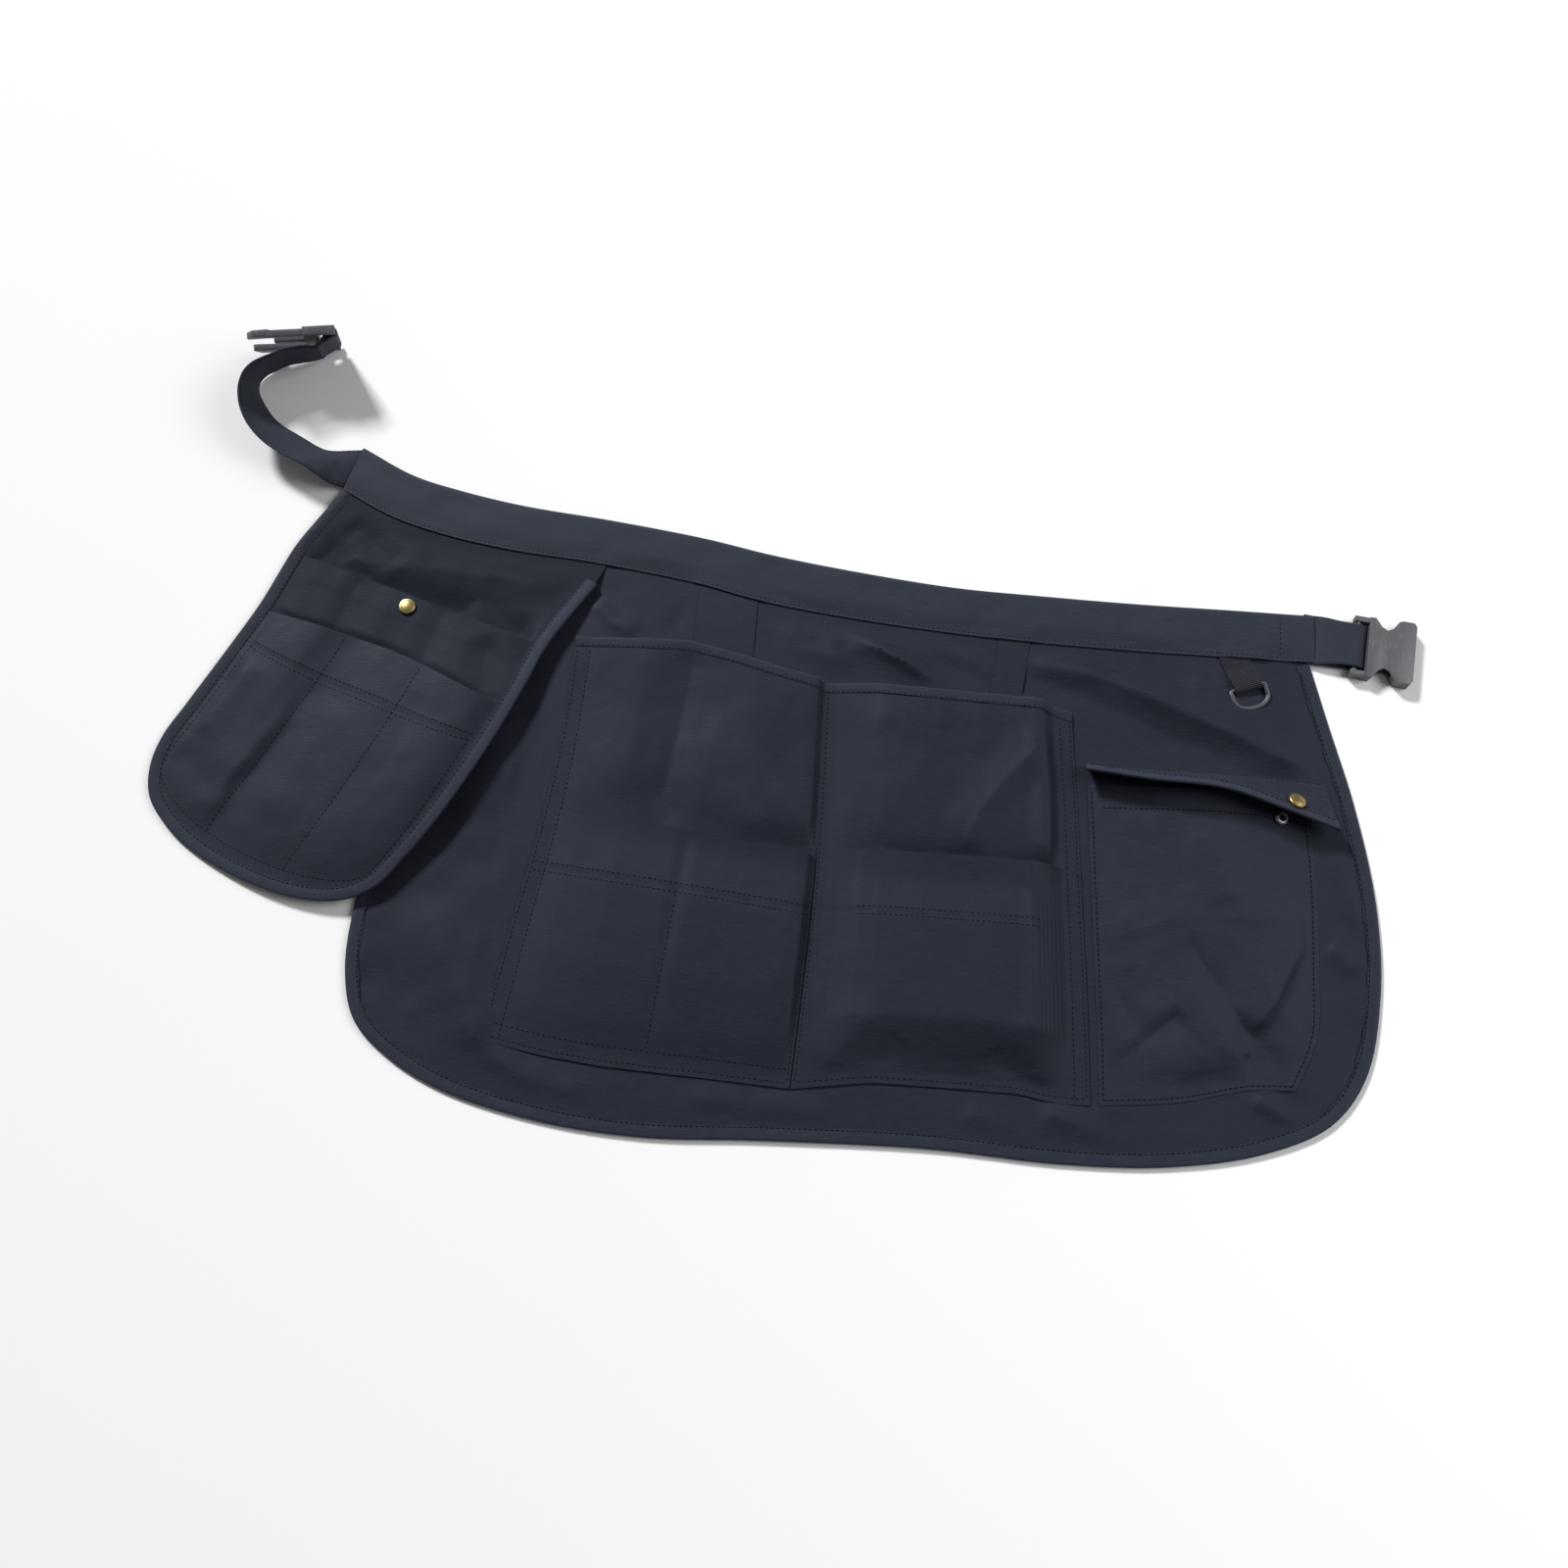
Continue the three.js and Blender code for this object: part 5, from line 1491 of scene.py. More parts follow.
    def _tape(self, wardrobe: Wardrobe) -> list[Object]:
        """Builds and dresses the tape round the pouch.

        Args:
            wardrobe: The finishes.

        Returns:
            The tape and its stitches.
        """
        share = np.linspace(0.0, 1.0, self.tape_stations)
        at = self.edge.by_row(share)
        inward = side_ways(self.edge.tangent(share))
        inner = at + self.tape_leg * inward
        low = self.floor(at[:, 0], at[:, 1])
        slope = (self.floor(inner[:, 0], inner[:, 1]) - low) / self.tape_leg
        inward = raised(inward, slope)
        start, end = self.tier_left[0], self.tier_right[1]
        over_tiers = smooth_share(share, start - 0.01, start + 0.005)
        over_tiers = over_tiers * (1 - smooth_share(share, end - 0.005, end + 0.01))
        drop = 1.4 - 0.85 * over_tiers
        sizes = (self.tape_leg, self.tape_height, self.tape_wall)
        section = np.stack([folded_section(*sizes, steps=5, end_drop=each) for each in drop])
        wear_and_highlight = 0.6 * np.exp(-((section[0, :, 0] / 1.6) ** 2))
        at = raised(at, low - self.tape_under)
        tape = swept("pouch_tape", at, inward, np.broadcast_to(UP, at.shape), section, wear_and_highlight)
        wardrobe.dress(tape, Slot.TAPE, Body.APRON, "pouch_binding")
        line = raised(at + (self.tape_leg - 0.9) * inward, self.tape_height - 0.95 * drop)
        sewn = wardrobe.stitch("pouch_tape_stitching", [lying(line[3:-3])], Slot.TAPE, STITCH_AND_SHADOW_LINE)
        return [tape, sewn]

    def _tiers(self, wardrobe: Wardrobe) -> None:
        """Builds and dresses the two pockets and the snap.

        Args:
            wardrobe: The finishes.
        """
        u, v = shares(*self.tier_grid)
        hidden = smooth_share(v, 0.3, 0.36)
        upper = self._on_floor(
            self.tier_plan(u, v),
            self._upper_height(u, v) * (1 - hidden) + self._upper_height(u, v, False) * hidden,
        )
        pocket = cloth("pouch_upper_cloth", upper, 0.8 * WALL)
        wardrobe.dress(pocket, Slot.POCKET, Body.APRON, "pouch_upper_pocket", look=wardrobe.pouch)
        low_v = self.low_mouth + (1 - self.low_mouth) * v
        slots = cloth("pouch_lower_cloth", self.lower(u, low_v), 0.8 * WALL)
        nodes = ("pouch_low_left", "pouch_low_middle", "pouch_low_right")
        wardrobe.dress(slots, Slot.POCKET, Body.APRON, *nodes)
        hem, foot = np.linspace(0.05, 0.95, 200), np.linspace(0.052, 0.945, 200)
        slot = np.linspace(self.low_mouth + 0.01, 0.95, 160)
        side = np.linspace(self.low_mouth + 0.14, 0.945, 160)
        lines = [sewn_line(self.lower, hem, row, 0.1) for row in (0.385, 0.41)]
        lines += [sewn_line(self.lower, column, slot, 0.1) for column in (0.347, 0.652)]
        lines += [sewn_line(self.lower, column, side, 0.08) for column in (0.052, 0.945)]
        lines.append(sewn_line(self.lower, foot, 0.95, 0.08))
        sewn = wardrobe.stitch("pouch_stitching", lines, Slot.POCKET)
        Snap(seat=self._seat(*self.snap_at)).build(wardrobe, "pouch_snap_cap", "pouch_snap")

    def _seat(self, u: float, v: float) -> Line:
        """Where a snap sits on the upper pocket.

        Args:
            u: Share across.
            v: Share down.

        Returns:
            The plan point and the direction out of the cloth.
        """
        near = self.upper(np.array([u, u - 0.03, u + 0.03, u, u]), np.array([v, v, v, v - 0.04, v + 0.04]))
        return near[0], unit(np.cross(near[4] - near[3], near[2] - near[1]))


# Snaps


@dataclass
class Snap:
    """A pressed brass snap, spun from its half section."""

    seat: Line
    section: Rows = (
        (0.0, 3.0), (1.6, 2.95), (3.2, 2.72), (4.5, 2.35), (5.0, 2.1), (5.35, 2.12), (5.75, 1.9), (6.2, 1.35),
        (6.3, 0.8), (6.15, 0.3), (5.9, 0.0), (0.0, 0.0),
    )
    steps: int = 40
    gap: float = 0.3

    def build(self, wardrobe: Wardrobe, name: str, node: str, look: Material | None = None) -> None:
        """Builds and dresses the snap.

        Args:
            wardrobe: The finishes.
            name: Name of the piece.
            node: The solid that it stands for.
            look: Its material, when that isn't brass.
        """
        bm = bmesh.new()
        corners = [bm.verts.new((radius * MM, 0.0, height * MM)) for radius, height in self.section]
        rim = [bm.edges.new(pair) for pair in zip(corners, corners[1:])]
        if self.section[0][0] > 0:
            rim.append(bm.edges.new((corners[-1], corners[0])))
        bmesh.ops.spin(
            bm, geom=corners + rim, cent=(0, 0, 0), axis=(0, 0, 1), angle=2 * math.pi, steps=self.steps,
            use_merge=True,
        )
        bmesh.ops.remove_doubles(bm, verts=bm.verts[:], dist=SAME_PLACE)
        bmesh.ops.recalc_face_normals(bm, faces=bm.faces[:])
        point, out = self.seat
        place = Matrix.Translation((Vector(point + PLAN_TO_FRAME) + Vector(out) * self.gap) * MM)
        turn = Vector(UP).rotation_difference(Vector(out)).to_matrix().to_4x4()
        bmesh.ops.transform(bm, matrix=place @ turn, verts=bm.verts[:])
        wardrobe.dress(finished(name, bm, 40.0), Slot.BRASS, Body.APRON, node, look=look)


# Centre pockets


@dataclass
class CentrePockets:
    """The wide pocket sewn down its middle, with a flat pocket on its left and a bellows on its right."""

    left_rows: Rows = ((-166, 89), (-164, 15), (-167, -60), (-174, -135), (-180, -210))
    middle_rows: Rows = ((20, 78), (26, 3), (31, -69), (33, -140), (34, -213))
    right_rows: Rows = ((198, 80), (209, 10), (218, -60), (227, -128), (235, -197))
    bulge: float = 7.2
    left_bulge: float = 8.4
    right_bulge: float = 13.0
    dip: float = 3.0
    sunk: float = 0.8
    left_mouth: float = 0.44
    right_mouth: float = 0.415
    seam_share: float = 0.0012
    tape_leg: float = 7.5
    tape_wall: float = 0.7
    tape_height: float = 2.1
    tape_stations: int = 300
    grid: tuple[int, int] = (240, 140)
    left_grid: tuple[int, int] = (150, 100)
    bellows_grid: tuple[int, int] = (240, 100)
    creases: tuple[Crease, ...] = (
        Crease(((-78, 100), (-79, 45), (-82, 7), (-88, -100)), 28, 34, -3.2, 1.0, 0.05),
        Crease(((180, 56), (153, 17), (141, -4), (128, -44)), 18, 26, 3.4, 1.0, 0.2),
        Crease(((176, 78), (186, 29), (190, -7), (191, -44)), 10, 18, 2.6, 1.0, 0.2),
        Crease(((-158, 84), (-149, 66), (-140, 44)), 14, 12, -2.0, 1.1),
        Crease(((-34, 74), (-24, 10), (2, -60)), 36, 36, 2.2, 1.8, 0.25),
        Crease(((56, 80), (82, 40), (100, -16)), 34, 34, 2.0, 1.8, 0.3),
        Crease(((124, 82), (138, 60), (146, 36)), 10, 16, 1.1, 1.0, 0.35),
        Crease(((156, 84), (168, 62), (175, 40)), 10, 16, 1.1, 1.0, 0.35),
        Crease(((-140, 70), (-128, 20), (-126, -30)), 30, 24, 1.2, 1.4),
        Crease(((92, 82), (104, 68), (108, 52)), 10, 12, 1.4, 1.0),
    )
    bellows_creases: tuple[Crease, ...] = (
        Crease(((92, -150), (74, -170), (48, -202)), 16, 26, 1.6, 1.3, 0.3),
        Crease(((104, -168), (94, -186), (88, -202)), 16, 14, -1.2, 1.4),
        Crease(((170, -148), (188, -166), (209, -194)), 20, 16, 1.6, 1.3, 0.3),
        Crease(((164, -168), (176, -184), (184, -200)), 16, 14, -1.2, 1.4),
    )

    def __post_init__(self) -> None:
        """Makes the seams' curves and the height tables."""
        self.seams = [Curve(rows) for rows in (self.left_rows, self.middle_rows, self.right_rows)]
        self.mouth = Profile(
            ((0, 0), (0.1, 5), (0.22, 11), (0.3, 9), (0.42, 3), (0.5, 0), (0.6, 3), (0.7, 3), (0.93, 5),
             (1, 0)),
            soft=0.012,
        )
        self.foot = Profile(
            ((0, 0), (0.1, -4.5), (0.2, -5.5), (0.35, -3), (0.5, -1), (0.57, 3), (0.63, 6.5), (0.75, 6),
             (0.88, 5), (0.94, 0), (1, 0)),
            soft=0.012,
        )
        self.across = Profile(
            ((0, 0), (0.03, 0), (0.06, 0.2), (0.14, 0.55), (0.25, 0.75), (0.4, 0.9), (0.465, 0.98),
             (0.484, 0.92), (0.4965, 0), (0.5035, 0), (0.522, 0.04), (0.56, 0.34), (0.62, 0.76), (0.7, 1),
             (0.85, 1.02), (0.9, 1.1), (0.922, 1.24), (0.936, 1.15), (0.962, 0.05), (0.97, 0), (1, 0)),
            soft=0.0035,
        )
        self.down = Profile(((0, 1), (0.6, 1), (0.78, 0.8), (0.9, 0.4), (0.968, 0), (1, 0)), soft=0.014)
        self.open = Profile(((0, 1.5), (0.05, 1.5), (0.15, 0), (1, 0)), soft=0.02)
        self.hollow = Profile(((0, 0), (0.32, 0), (0.43, 1), (0.52, 1), (0.62, 0), (1, 0)), soft=0.014)
        self.left_across = Profile(
            ((0, 0), (0.03, 0), (0.07, 0.3), (0.15, 0.62), (0.25, 0.76), (0.262, 0.66), (0.268, 0.66),
             (0.285, 0.8), (0.4, 0.92), (0.465, 0.98), (0.485, 0.9), (0.4965, 0), (0.5, 0)),
            soft=0.0035,
        )
        self.right_across = Profile(
            ((0.5, 0), (0.5035, 0), (0.52, 0.03), (0.545, 0.12), (0.575, 0.3), (0.585, 0.42), (0.62, 0.56),
             (0.7, 0.74), (0.8, 0.88), (0.88, 0.97), (0.893, 1.02), (0.9, 1.07), (0.906, 1.03), (0.966, 0.02),
             (0.97, 0), (1, 0)),
            soft=0.0022,
        )
        self.left_down = Profile(
            ((0, 0.5), (0.44, 0.5), (0.6, 1), (0.78, 0.85), (0.9, 0.45), (0.968, 0), (1, 0)), soft=0.014
        )
        self.right_down = Profile(
            ((0, 0.55), (0.41, 0.55), (0.58, 1), (0.82, 1), (0.836, 0.97), (0.93, 0.2), (0.968, 0), (1, 0)),
            soft=0.005,
        )
        self.ripple = Ripple(seed=31, rise=0.75, shortest=20, longest=110)

    def plan(self, u: Array, v: Array) -> Array:
        """Plan points of the wide pocket.

        Args:
            u: Shares across, with the middle seam at a half.
            v: Shares down.

        Returns:
            The points.
        """
        left, middle, right = (seam.by_row(v) for seam in self.seams)
        share = np.where(u < 0.5, 2 * u, 2 * u - 1)[..., None]
        first = (u < 0.5)[..., None]
        points = np.where(first, left, middle) * (1 - share) + np.where(first, middle, right) * share
        points[..., 1] += self.mouth(u) * (1 - v) ** 3 + self.foot(u) * v**3
        return points

    def wide(self, u: Array, v: Array, dipped: bool = True) -> Array:
        """The wide pocket's face.

        Args:
            u: Shares across.
            v: Shares down.
            dipped: Whether it sinks behind the lower pockets' mouths.

        Returns:
            Plan points.
        """
        flat = self.plan(u, v)
        x, y = flat[..., 0], flat[..., 1]
        full = self.across(u) * self.down(v) * (1.0 - self.sunk * smooth_share(v, 0.36, 0.5))
        soft = self.ripple.height(x, y)
        if dipped:
            soft = soft + creased(self.creases, x, y) - self.dip * self.hollow(v)
        soft = soft * np.clip(2.0 * full - 0.3, 0.0, 1.0) * smooth_share(v, 0.0, 0.06)
        return raised(flat, ON_PANEL + WALL + np.maximum(self.open(v) + self.bulge * full + soft, 0.0))

    def low_left(self, u: Array, v: Array) -> Array:
        """The left lower pocket's face.

        Args:
            u: Shares across.
            v: Shares down.

        Returns:
            Plan points.
        """
        hem = 0.35 * (1 - smooth_share(v - self.left_mouth, 0.13, 0.142)) * smooth_share(u, 0.02, 0.05)
        wide = self.wide(u, v, False)
        soft = kept_up(self.ripple.height(wide[..., 0] + 170, wide[..., 1]))
        full = self.left_across(u) * self.left_down(v)
        return raised(wide, STACK + full * (self.left_bulge + soft) + hem)

    def low_right(self, u: Array, v: Array) -> Array:
        """The bellows pocket's face.

        Args:
            u: Shares across.
            v: Shares down.

        Returns:
            Plan points.
        """
        inside = smooth_share(1 - u, 0.03, 0.06)
        hem = 0.35 * (1 - smooth_share(v - self.right_mouth, 0.145, 0.157)) * inside
        wide = self.wide(u, v, False)
        x, y = wide[..., 0], wide[..., 1]
        full = self.right_across(u) * self.right_down(v)
        soft = full * kept_up(self.ripple.height(x + 330, y + 90)) * 0.6
        pleats = creased(self.bellows_creases, x, y) * smooth_share(1 - v, 0.03, 0.06) * inside
        side = smooth_share(u, 0.906, 0.915) * (1 - smooth_share(u, 0.95, 0.962))
        side = side * smooth_share(v, 0.46, 0.56) * (1 - smooth_share(v, 0.8, 0.9))
        ribs = 0.22 * np.sin(2 * math.pi * (x + 0.12 * y) / 3.1) * side
        return raised(wide, STACK + np.maximum(full * self.right_bulge + soft + pleats + ribs, 0.0) + hem)

    def build(self, wardrobe: Wardrobe) -> None:
        """Builds and dresses the three pockets and the mouth's tape.

        Args:
            wardrobe: The finishes.
        """
        u, v = shares(*self.grid)
        pocket = cloth("centre_cloth", self.wide(u, v), WALL)
        wardrobe.dress(pocket, Slot.POCKET, Body.APRON, "centre_pocket")
        u, v = shares(*self.left_grid)
        left_u = u * (0.5 - self.seam_share)
        left_v = self.left_mouth + (1 - self.left_mouth) * v
        left = cloth("centre_left_cloth", self.low_left(left_u, left_v), WALL)
        wardrobe.dress(left, Slot.POCKET, Body.APRON, "centre_low_left")
        u, v = shares(*self.bellows_grid)
        right_u = 0.5 + self.seam_share + u * (0.5 - self.seam_share)
        right_v = self.right_mouth + (1 - self.right_mouth) * v
        right = cloth("bellows_cloth", self.low_right(right_u, right_v), WALL)
        wardrobe.dress(right, Slot.POCKET, Body.APRON, "centre_low_right")
        trims = self._tape(wardrobe)

    def _tape(self, wardrobe: Wardrobe) -> list[Object]:
        """Builds and dresses the mouth's tape and all the pocket's stitches.

        Args:
            wardrobe: The finishes.

        Returns:
            The tape and the stitches.
        """
        u = np.linspace(0.0, 1.0, self.tape_stations)
        mouth = self.wide(u, np.zeros(len(u)))
        inward = self.wide(u, np.full(len(u), 0.05)) - mouth
        inward = inward / np.hypot(inward[:, 0], inward[:, 1])[:, None]
        height = self.tape_height
        at = mouth - 1.3 * inward - (height + WALL) / 2 * UP
        section = folded_section(self.tape_leg, height, self.tape_wall, steps=6, end_drop=0.25)
        wear_and_highlight = 0.6 * np.exp(-((section[:, 0] / 1.5) ** 2))
        tape = swept("centre_mouth_tape", at, inward, np.broadcast_to(UP, at.shape), section, wear_and_highlight)
        wardrobe.dress(tape, Slot.TAPE, Body.APRON, "centre_mouth_binding")
        line = at + (self.tape_leg - 0.9) * inward + (height - 0.22) * UP
        sewn = wardrobe.stitch("centre_stitching", [lying(line[3:-3]), *self._seams()], Slot.POCKET)
        return [tape, sewn]

    def _seams(self) -> list[Line]:
        """The lines of stitches on the three pockets.

        Returns:
            The lines, as Stitching.sew takes them.
        """
        lines = []

        def sewn(face: Face, u: Array | float, v: Array | float) -> None:
            """Keeps one line on a pocket's face."""
            lines.append(sewn_line(face, u, v, 0.12))

        high = np.linspace(0.03, self.left_mouth, 240)
        low_left = np.linspace(self.left_mouth + 0.005, 0.985, 240)
        low_right = np.linspace(self.right_mouth + 0.005, 0.985, 240)
        for column in (0.006, 0.03):
            sewn(self.wide, column, high)
            sewn(self.low_left, column, low_left)
        for column in (0.974, 0.994):
            sewn(self.wide, column, high)
            sewn(self.low_right, column, low_right)
        for column in (0.494, 0.506):
            sewn(self.wide, column, np.linspace(0.03, 0.41, 240))
        sewn(self.low_left, 0.494, low_left)
        sewn(self.low_right, 0.506, low_right)
        left = np.linspace(0.008, 0.492, 240)
        right = np.linspace(0.508, 0.992, 240)
        for row in (0.957, 0.988):
            sewn(self.low_left, left, row)
        sewn(self.low_right, right, 0.985)
        for row in (self.left_mouth + 0.13, self.left_mouth + 0.152):
            sewn(self.low_left, left, row)
        for row in (self.right_mouth + 0.145, self.right_mouth + 0.165):
            sewn(self.low_right, np.linspace(0.58, 0.915, 240), row)
        sewn(self.low_left, 0.265, np.linspace(self.left_mouth + 0.14, 0.955, 240))
        return lines


# Flap pocket


@dataclass
class FlapPocket:
    """The pocket at the right with its flap lifted towards the viewer."""

    top_rows: Rows = ((214, 29), (262, 32), (314, 36), (371, 36))
    left_rows: Rows = ((214, 29), (226, -70), (236, -150), (241, -196))
    right_rows: Rows = ((371, 36), (379, -20), (383, -80), (384, -130), (371, -168))
    bottom_rows: Rows = ((241, -196), (292, -187), (340, -172), (371, -168))
    seam_rows: Rows = ((212, 43, 2.6), (262, 46, 2.6), (314, 50, 2.6), (380, 53, 2.6))
    edge_rows: Rows = ((210, 35.3, 17), (256, 32.2, 24), (311, 32.2, 24), (350, 23.9, 21), (390, 16.6, 14))
    bulge: float = 7.5
    roll: float = 0.35
    tape_leg: float = 7.5
    tape_wall: float = 0.7
    tape_height: float = 3.2
    snap_at: tuple[float, float] = (0.83, 0.77)
    socket_at: tuple[float, float] = (0.86, 0.07)
    grid: tuple[int, int] = (115, 140)
    flap_grid: tuple[int, int] = (110, 30)
    tape_stations: int = 170
    socket_section: Rows = (
        (2.2, 0.0), (2.1, 0.9), (2.3, 1.6), (2.8, 1.85), (3.6, 1.8), (4.2, 1.6), (4.7, 1.1), (5.2, 0.5),
        (5.2, 0.0),
    )
    creases: tuple[Crease, ...] = (
        Crease(
            ((284, -66), (311, -102), (326, -120), (343, -141), (352, -160), (358, -178)),
            30, 18, -5.2, 1.0, 0.3,
        ),
        Crease(((388, -42), (371, -70), (361, -90), (353, -110), (338, -136)), 10, 40, 4.4, 1.0, 0.12),
        Crease(((232, -192), (253, -165), (267, -149), (292, -124)), 9, 34, -3.2, 1.0, 0.12),
        Crease(((226, -74), (237, -102), (252, -124), (266, -152)), 16, 20, -2.4, 1.1, 0.15),
        Crease(
            ((222, -88), (249, -77), (275, -64), (308, -57), (348, -53), (386, -51)), 26, 9, 0.9, 1.0, 0.2
        ),
        Crease(((339, -146), (343, -158), (347, -174)), 9, 7, -5.5, 1.0, 0.35),
        Crease(((258, -182), (303, -177), (335, -168)), 14, 10, -2.0, 1.4),
        Crease(((296, 10), (312, -22), (320, -50)), 26, 22, 1.8, 1.2),
    )

    def __post_init__(self) -> None:
        """Makes the pocket's plan, its height tables and the flap's curves."""
        edges = (self.top_rows, self.bottom_rows, self.left_rows, self.right_rows)
        self.plan = Patch(*(Curve(rows) for rows in edges))
        self.across = Profile(
            ((0, 0), (0.02, 0), (0.12, 0.3), (0.3, 0.75), (0.46, 1), (0.6, 0.95), (0.75, 0.68), (0.9, 0.22),
             (0.955, 0), (1, 0)),
            soft=0.01,
        )
        self.down = Profile(((0, 1), (0.7, 1), (0.86, 0.8), (0.968, 0), (1, 0)), soft=0.012)
        self.ripple = Ripple(seed=47, rise=0.8, shortest=16, longest=80)
        self.seam = Curve(self.seam_rows)
        self.edge = Curve(self.edge_rows)

    def face(self, u: Array, v: Array) -> Array:
        """The pocket's face.

        Args:
            u: Shares across.
            v: Shares down.

        Returns:
            Plan points.
        """
        flat = self.plan(u, v)
        full = self.across(u) * self.down(v)
        x, y = flat[..., 0], flat[..., 1]
        soft = (creased(self.creases, x, y) + self.ripple.height(x, y)) * np.clip(3.0 * full, 0.0, 1.0)
        return raised(flat, ON_PANEL + WALL + np.maximum(self.bulge * full + soft, 0.0))

    def flap(self, u: Array, v: Array) -> Array:
        """The middle of the flap's cloth, from its seam to its free edge.

        Args:
            u: Shares across.
            v: Shares from the seam to the edge.

        Returns:
            Plan points.
        """
        seam, edge = self.seam.by_length(u), self.edge.by_length(u)
        turn = math.pi / 2 * v[..., None]
        out = (edge - seam) * [1.0, 1.0, 0.0]
        rise = (edge - seam) * [0.0, 0.0, 1.0]
        roll = out * (1.0 - np.cos(turn)) + rise * np.sin(turn)
        points = seam + self.roll * roll + (1.0 - self.roll) * (edge - seam) * v[..., None]
        wave = 0.6 * np.sin(u * 17.0 + 0.6) * v**2
        return raised(points, wave + 1.0)

    def out(self, u: Array, v: Array) -> Array:
        """Directions out of the flap's front face.

        Args:
            u: Shares across.
            v: Shares from the seam to the edge.

        Returns:
            Unit directions.
        """
        step = 0.01
        across = self.flap(np.minimum(u + step, 1.0), v) - self.flap(np.maximum(u - step, 0.0), v)
        down = self.flap(u, v + step) - self.flap(u, v - step)
        return unit(np.cross(down, across))

    def build(self, wardrobe: Wardrobe) -> None:
        """Builds and dresses the pocket, its flap and both halves of the snap.

        Args:
            wardrobe: The finishes.
        """
        u, v = shares(*self.grid)
        pocket = cloth("flap_pocket_cloth", self.face(u, v), WALL)
        # The pocket wears the paler copy of the cloth as painted light.
        wardrobe.dress(pocket, Slot.POCKET, Body.APRON, "flap_pocket", look=wardrobe.pale)
        side = np.linspace(0.02, 0.99, 200)
        lines = [sewn_line(self.face, column, side, 0.1) for column in (0.02, 0.975)]
        lines.append(sewn_line(self.face, np.linspace(0.02, 0.98, 200), 0.985, 0.1))
        lines.append(sewn_line(self.face, np.linspace(0.06, 0.94, 200), 0.075, 0.1))
        sewn = wardrobe.stitch("flap_pocket_stitching", lines, Slot.POCKET, STITCH_AND_SHADOW_LINE)
        u, v = shares(*self.flap_grid)
        flap = cloth("flap_cloth", self.flap(u, v) + 0.5 * WALL * self.out(u, v), WALL, Weave.LENGTH)
        # The flap wears the paler copy of the cloth as painted light.
        wardrobe.dress(flap, Slot.POCKET, Body.APRON, "flap", look=wardrobe.pale)
        trims = self._tape(wardrobe)
        self._snaps(wardrobe)

    def _tape(self, wardrobe: Wardrobe) -> list[Object]:
        """Builds and dresses the tape along the flap's free edge.

        Args:
            wardrobe: The finishes.

        Returns:
            The tape and its stitches.
        """
        u = np.linspace(0.0, 1.0, self.tape_stations)
        free = np.ones(len(u))
        up = self.out(u, free)
        edge = self.flap(u, free)
        inward = unit(self.flap(u, 0.8 * free) - edge)
        height = self.tape_height
        at = edge - 1.3 * inward - up * height / 2
        section = folded_section(self.tape_leg, height, self.tape_wall, steps=6)
        # The whole flap tape is painted paler: a painted highlight for its lit strip, not wear.
        wear_and_highlight = np.full(len(section), 0.55)
        tape = swept("flap_tape", at, inward, up, section, wear_and_highlight)
        wardrobe.dress(tape, Slot.TAPE, Body.APRON, "flap_binding")
        line = at + (self.tape_leg - 0.9) * inward + (height + 0.05) * up
        seam_u, seam_v = np.linspace(0.01, 0.99, len(u)), 0.06 * free
        root, outs = self.flap(seam_u, seam_v), self.out(seam_u, seam_v)
        lines = [(line[2:-2], up[2:-2]), (root + 0.55 * WALL * outs, outs)]
        return [tape, wardrobe.stitch("flap_stitching", lines, Slot.TAPE, STITCH_AND_SHADOW_LINE)]

    def _snaps(self, wardrobe: Wardrobe) -> None:
        """Builds and dresses the cap on the flap and the socket on the pocket.

        Args:
            wardrobe: The finishes.
        """
        u, v = (np.array([share]) for share in self.snap_at)
        out = self.out(u, v)[0]
        seat = self.flap(u, v)[0] + out * self.tape_height / 2
        Snap(seat=(seat, out)).build(wardrobe, "flap_snap_cap", "flap_snap")
        u, v = (np.array([share]) for share in self.socket_at)
        tilt = np.array([0.25, 0.0, 1.0]) / math.hypot(0.25, 1.0)
        socket = Snap(seat=(self.face(u, v)[0] + 0.4 * UP, tilt), section=self.socket_section)
        socket.build(wardrobe, "snap_socket_ring", "snap_socket", look=wardrobe.nickel)


# Straps, buckles and ring


def bend_round_bar(middle: float, turn_deg: float, count: int, slack: float = 0.0) -> Array:
    """The middle line of a strap's bend round a bar that lies along local Y at 0.

    Args:
        middle: Radius of the bend.
        turn_deg: How far the bend goes to each side.
        count: How many points it has.
        slack: How much further its lower end reaches out.

    Returns:
        Local points from the upper end round to the lower.
    """
    bend = np.radians(np.linspace(turn_deg, -turn_deg, count))
    reach = np.cos(bend) * (middle + slack * (1 - np.sin(bend)) / 2)
    return np.stack([reach, np.zeros(count), middle * np.sin(bend)], -1)


def strap_line(upper: Rows, ring: Rows, lower: Rows, count: int) -> Line:
    """The middle line of a strap that goes round a bar and comes back, and the ways out of it.

    Args:
        upper: Local points of its upper layer, towards the bar.
        ring: Local points of its bend.
        lower: Local points of its lower layer, away from the bar.
        count: How many points the line gets.

    Returns:
        Local points, and unit directions outward.
    """
    line = Curve(np.vstack([upper, ring, lower])).by_length(np.linspace(0.0, 1.0, count))
    return line, -unit(np.cross(np.gradient(line, axis=0), ALONG_BAR))


def placed(matrix: Matrix, points: Array, moved: bool = True) -> Array:
    """Local points or directions brought to the plan.

    Args:
        matrix: The pose, in plan millimetres.
        points: Local points or directions.
        moved: Whether they are points.

    Returns:
        Plan points or directions.
    """
    turn = np.array(matrix.to_3x3())
    shift = np.array(matrix.translation) if moved else np.zeros(3)
    return points @ turn.T + shift


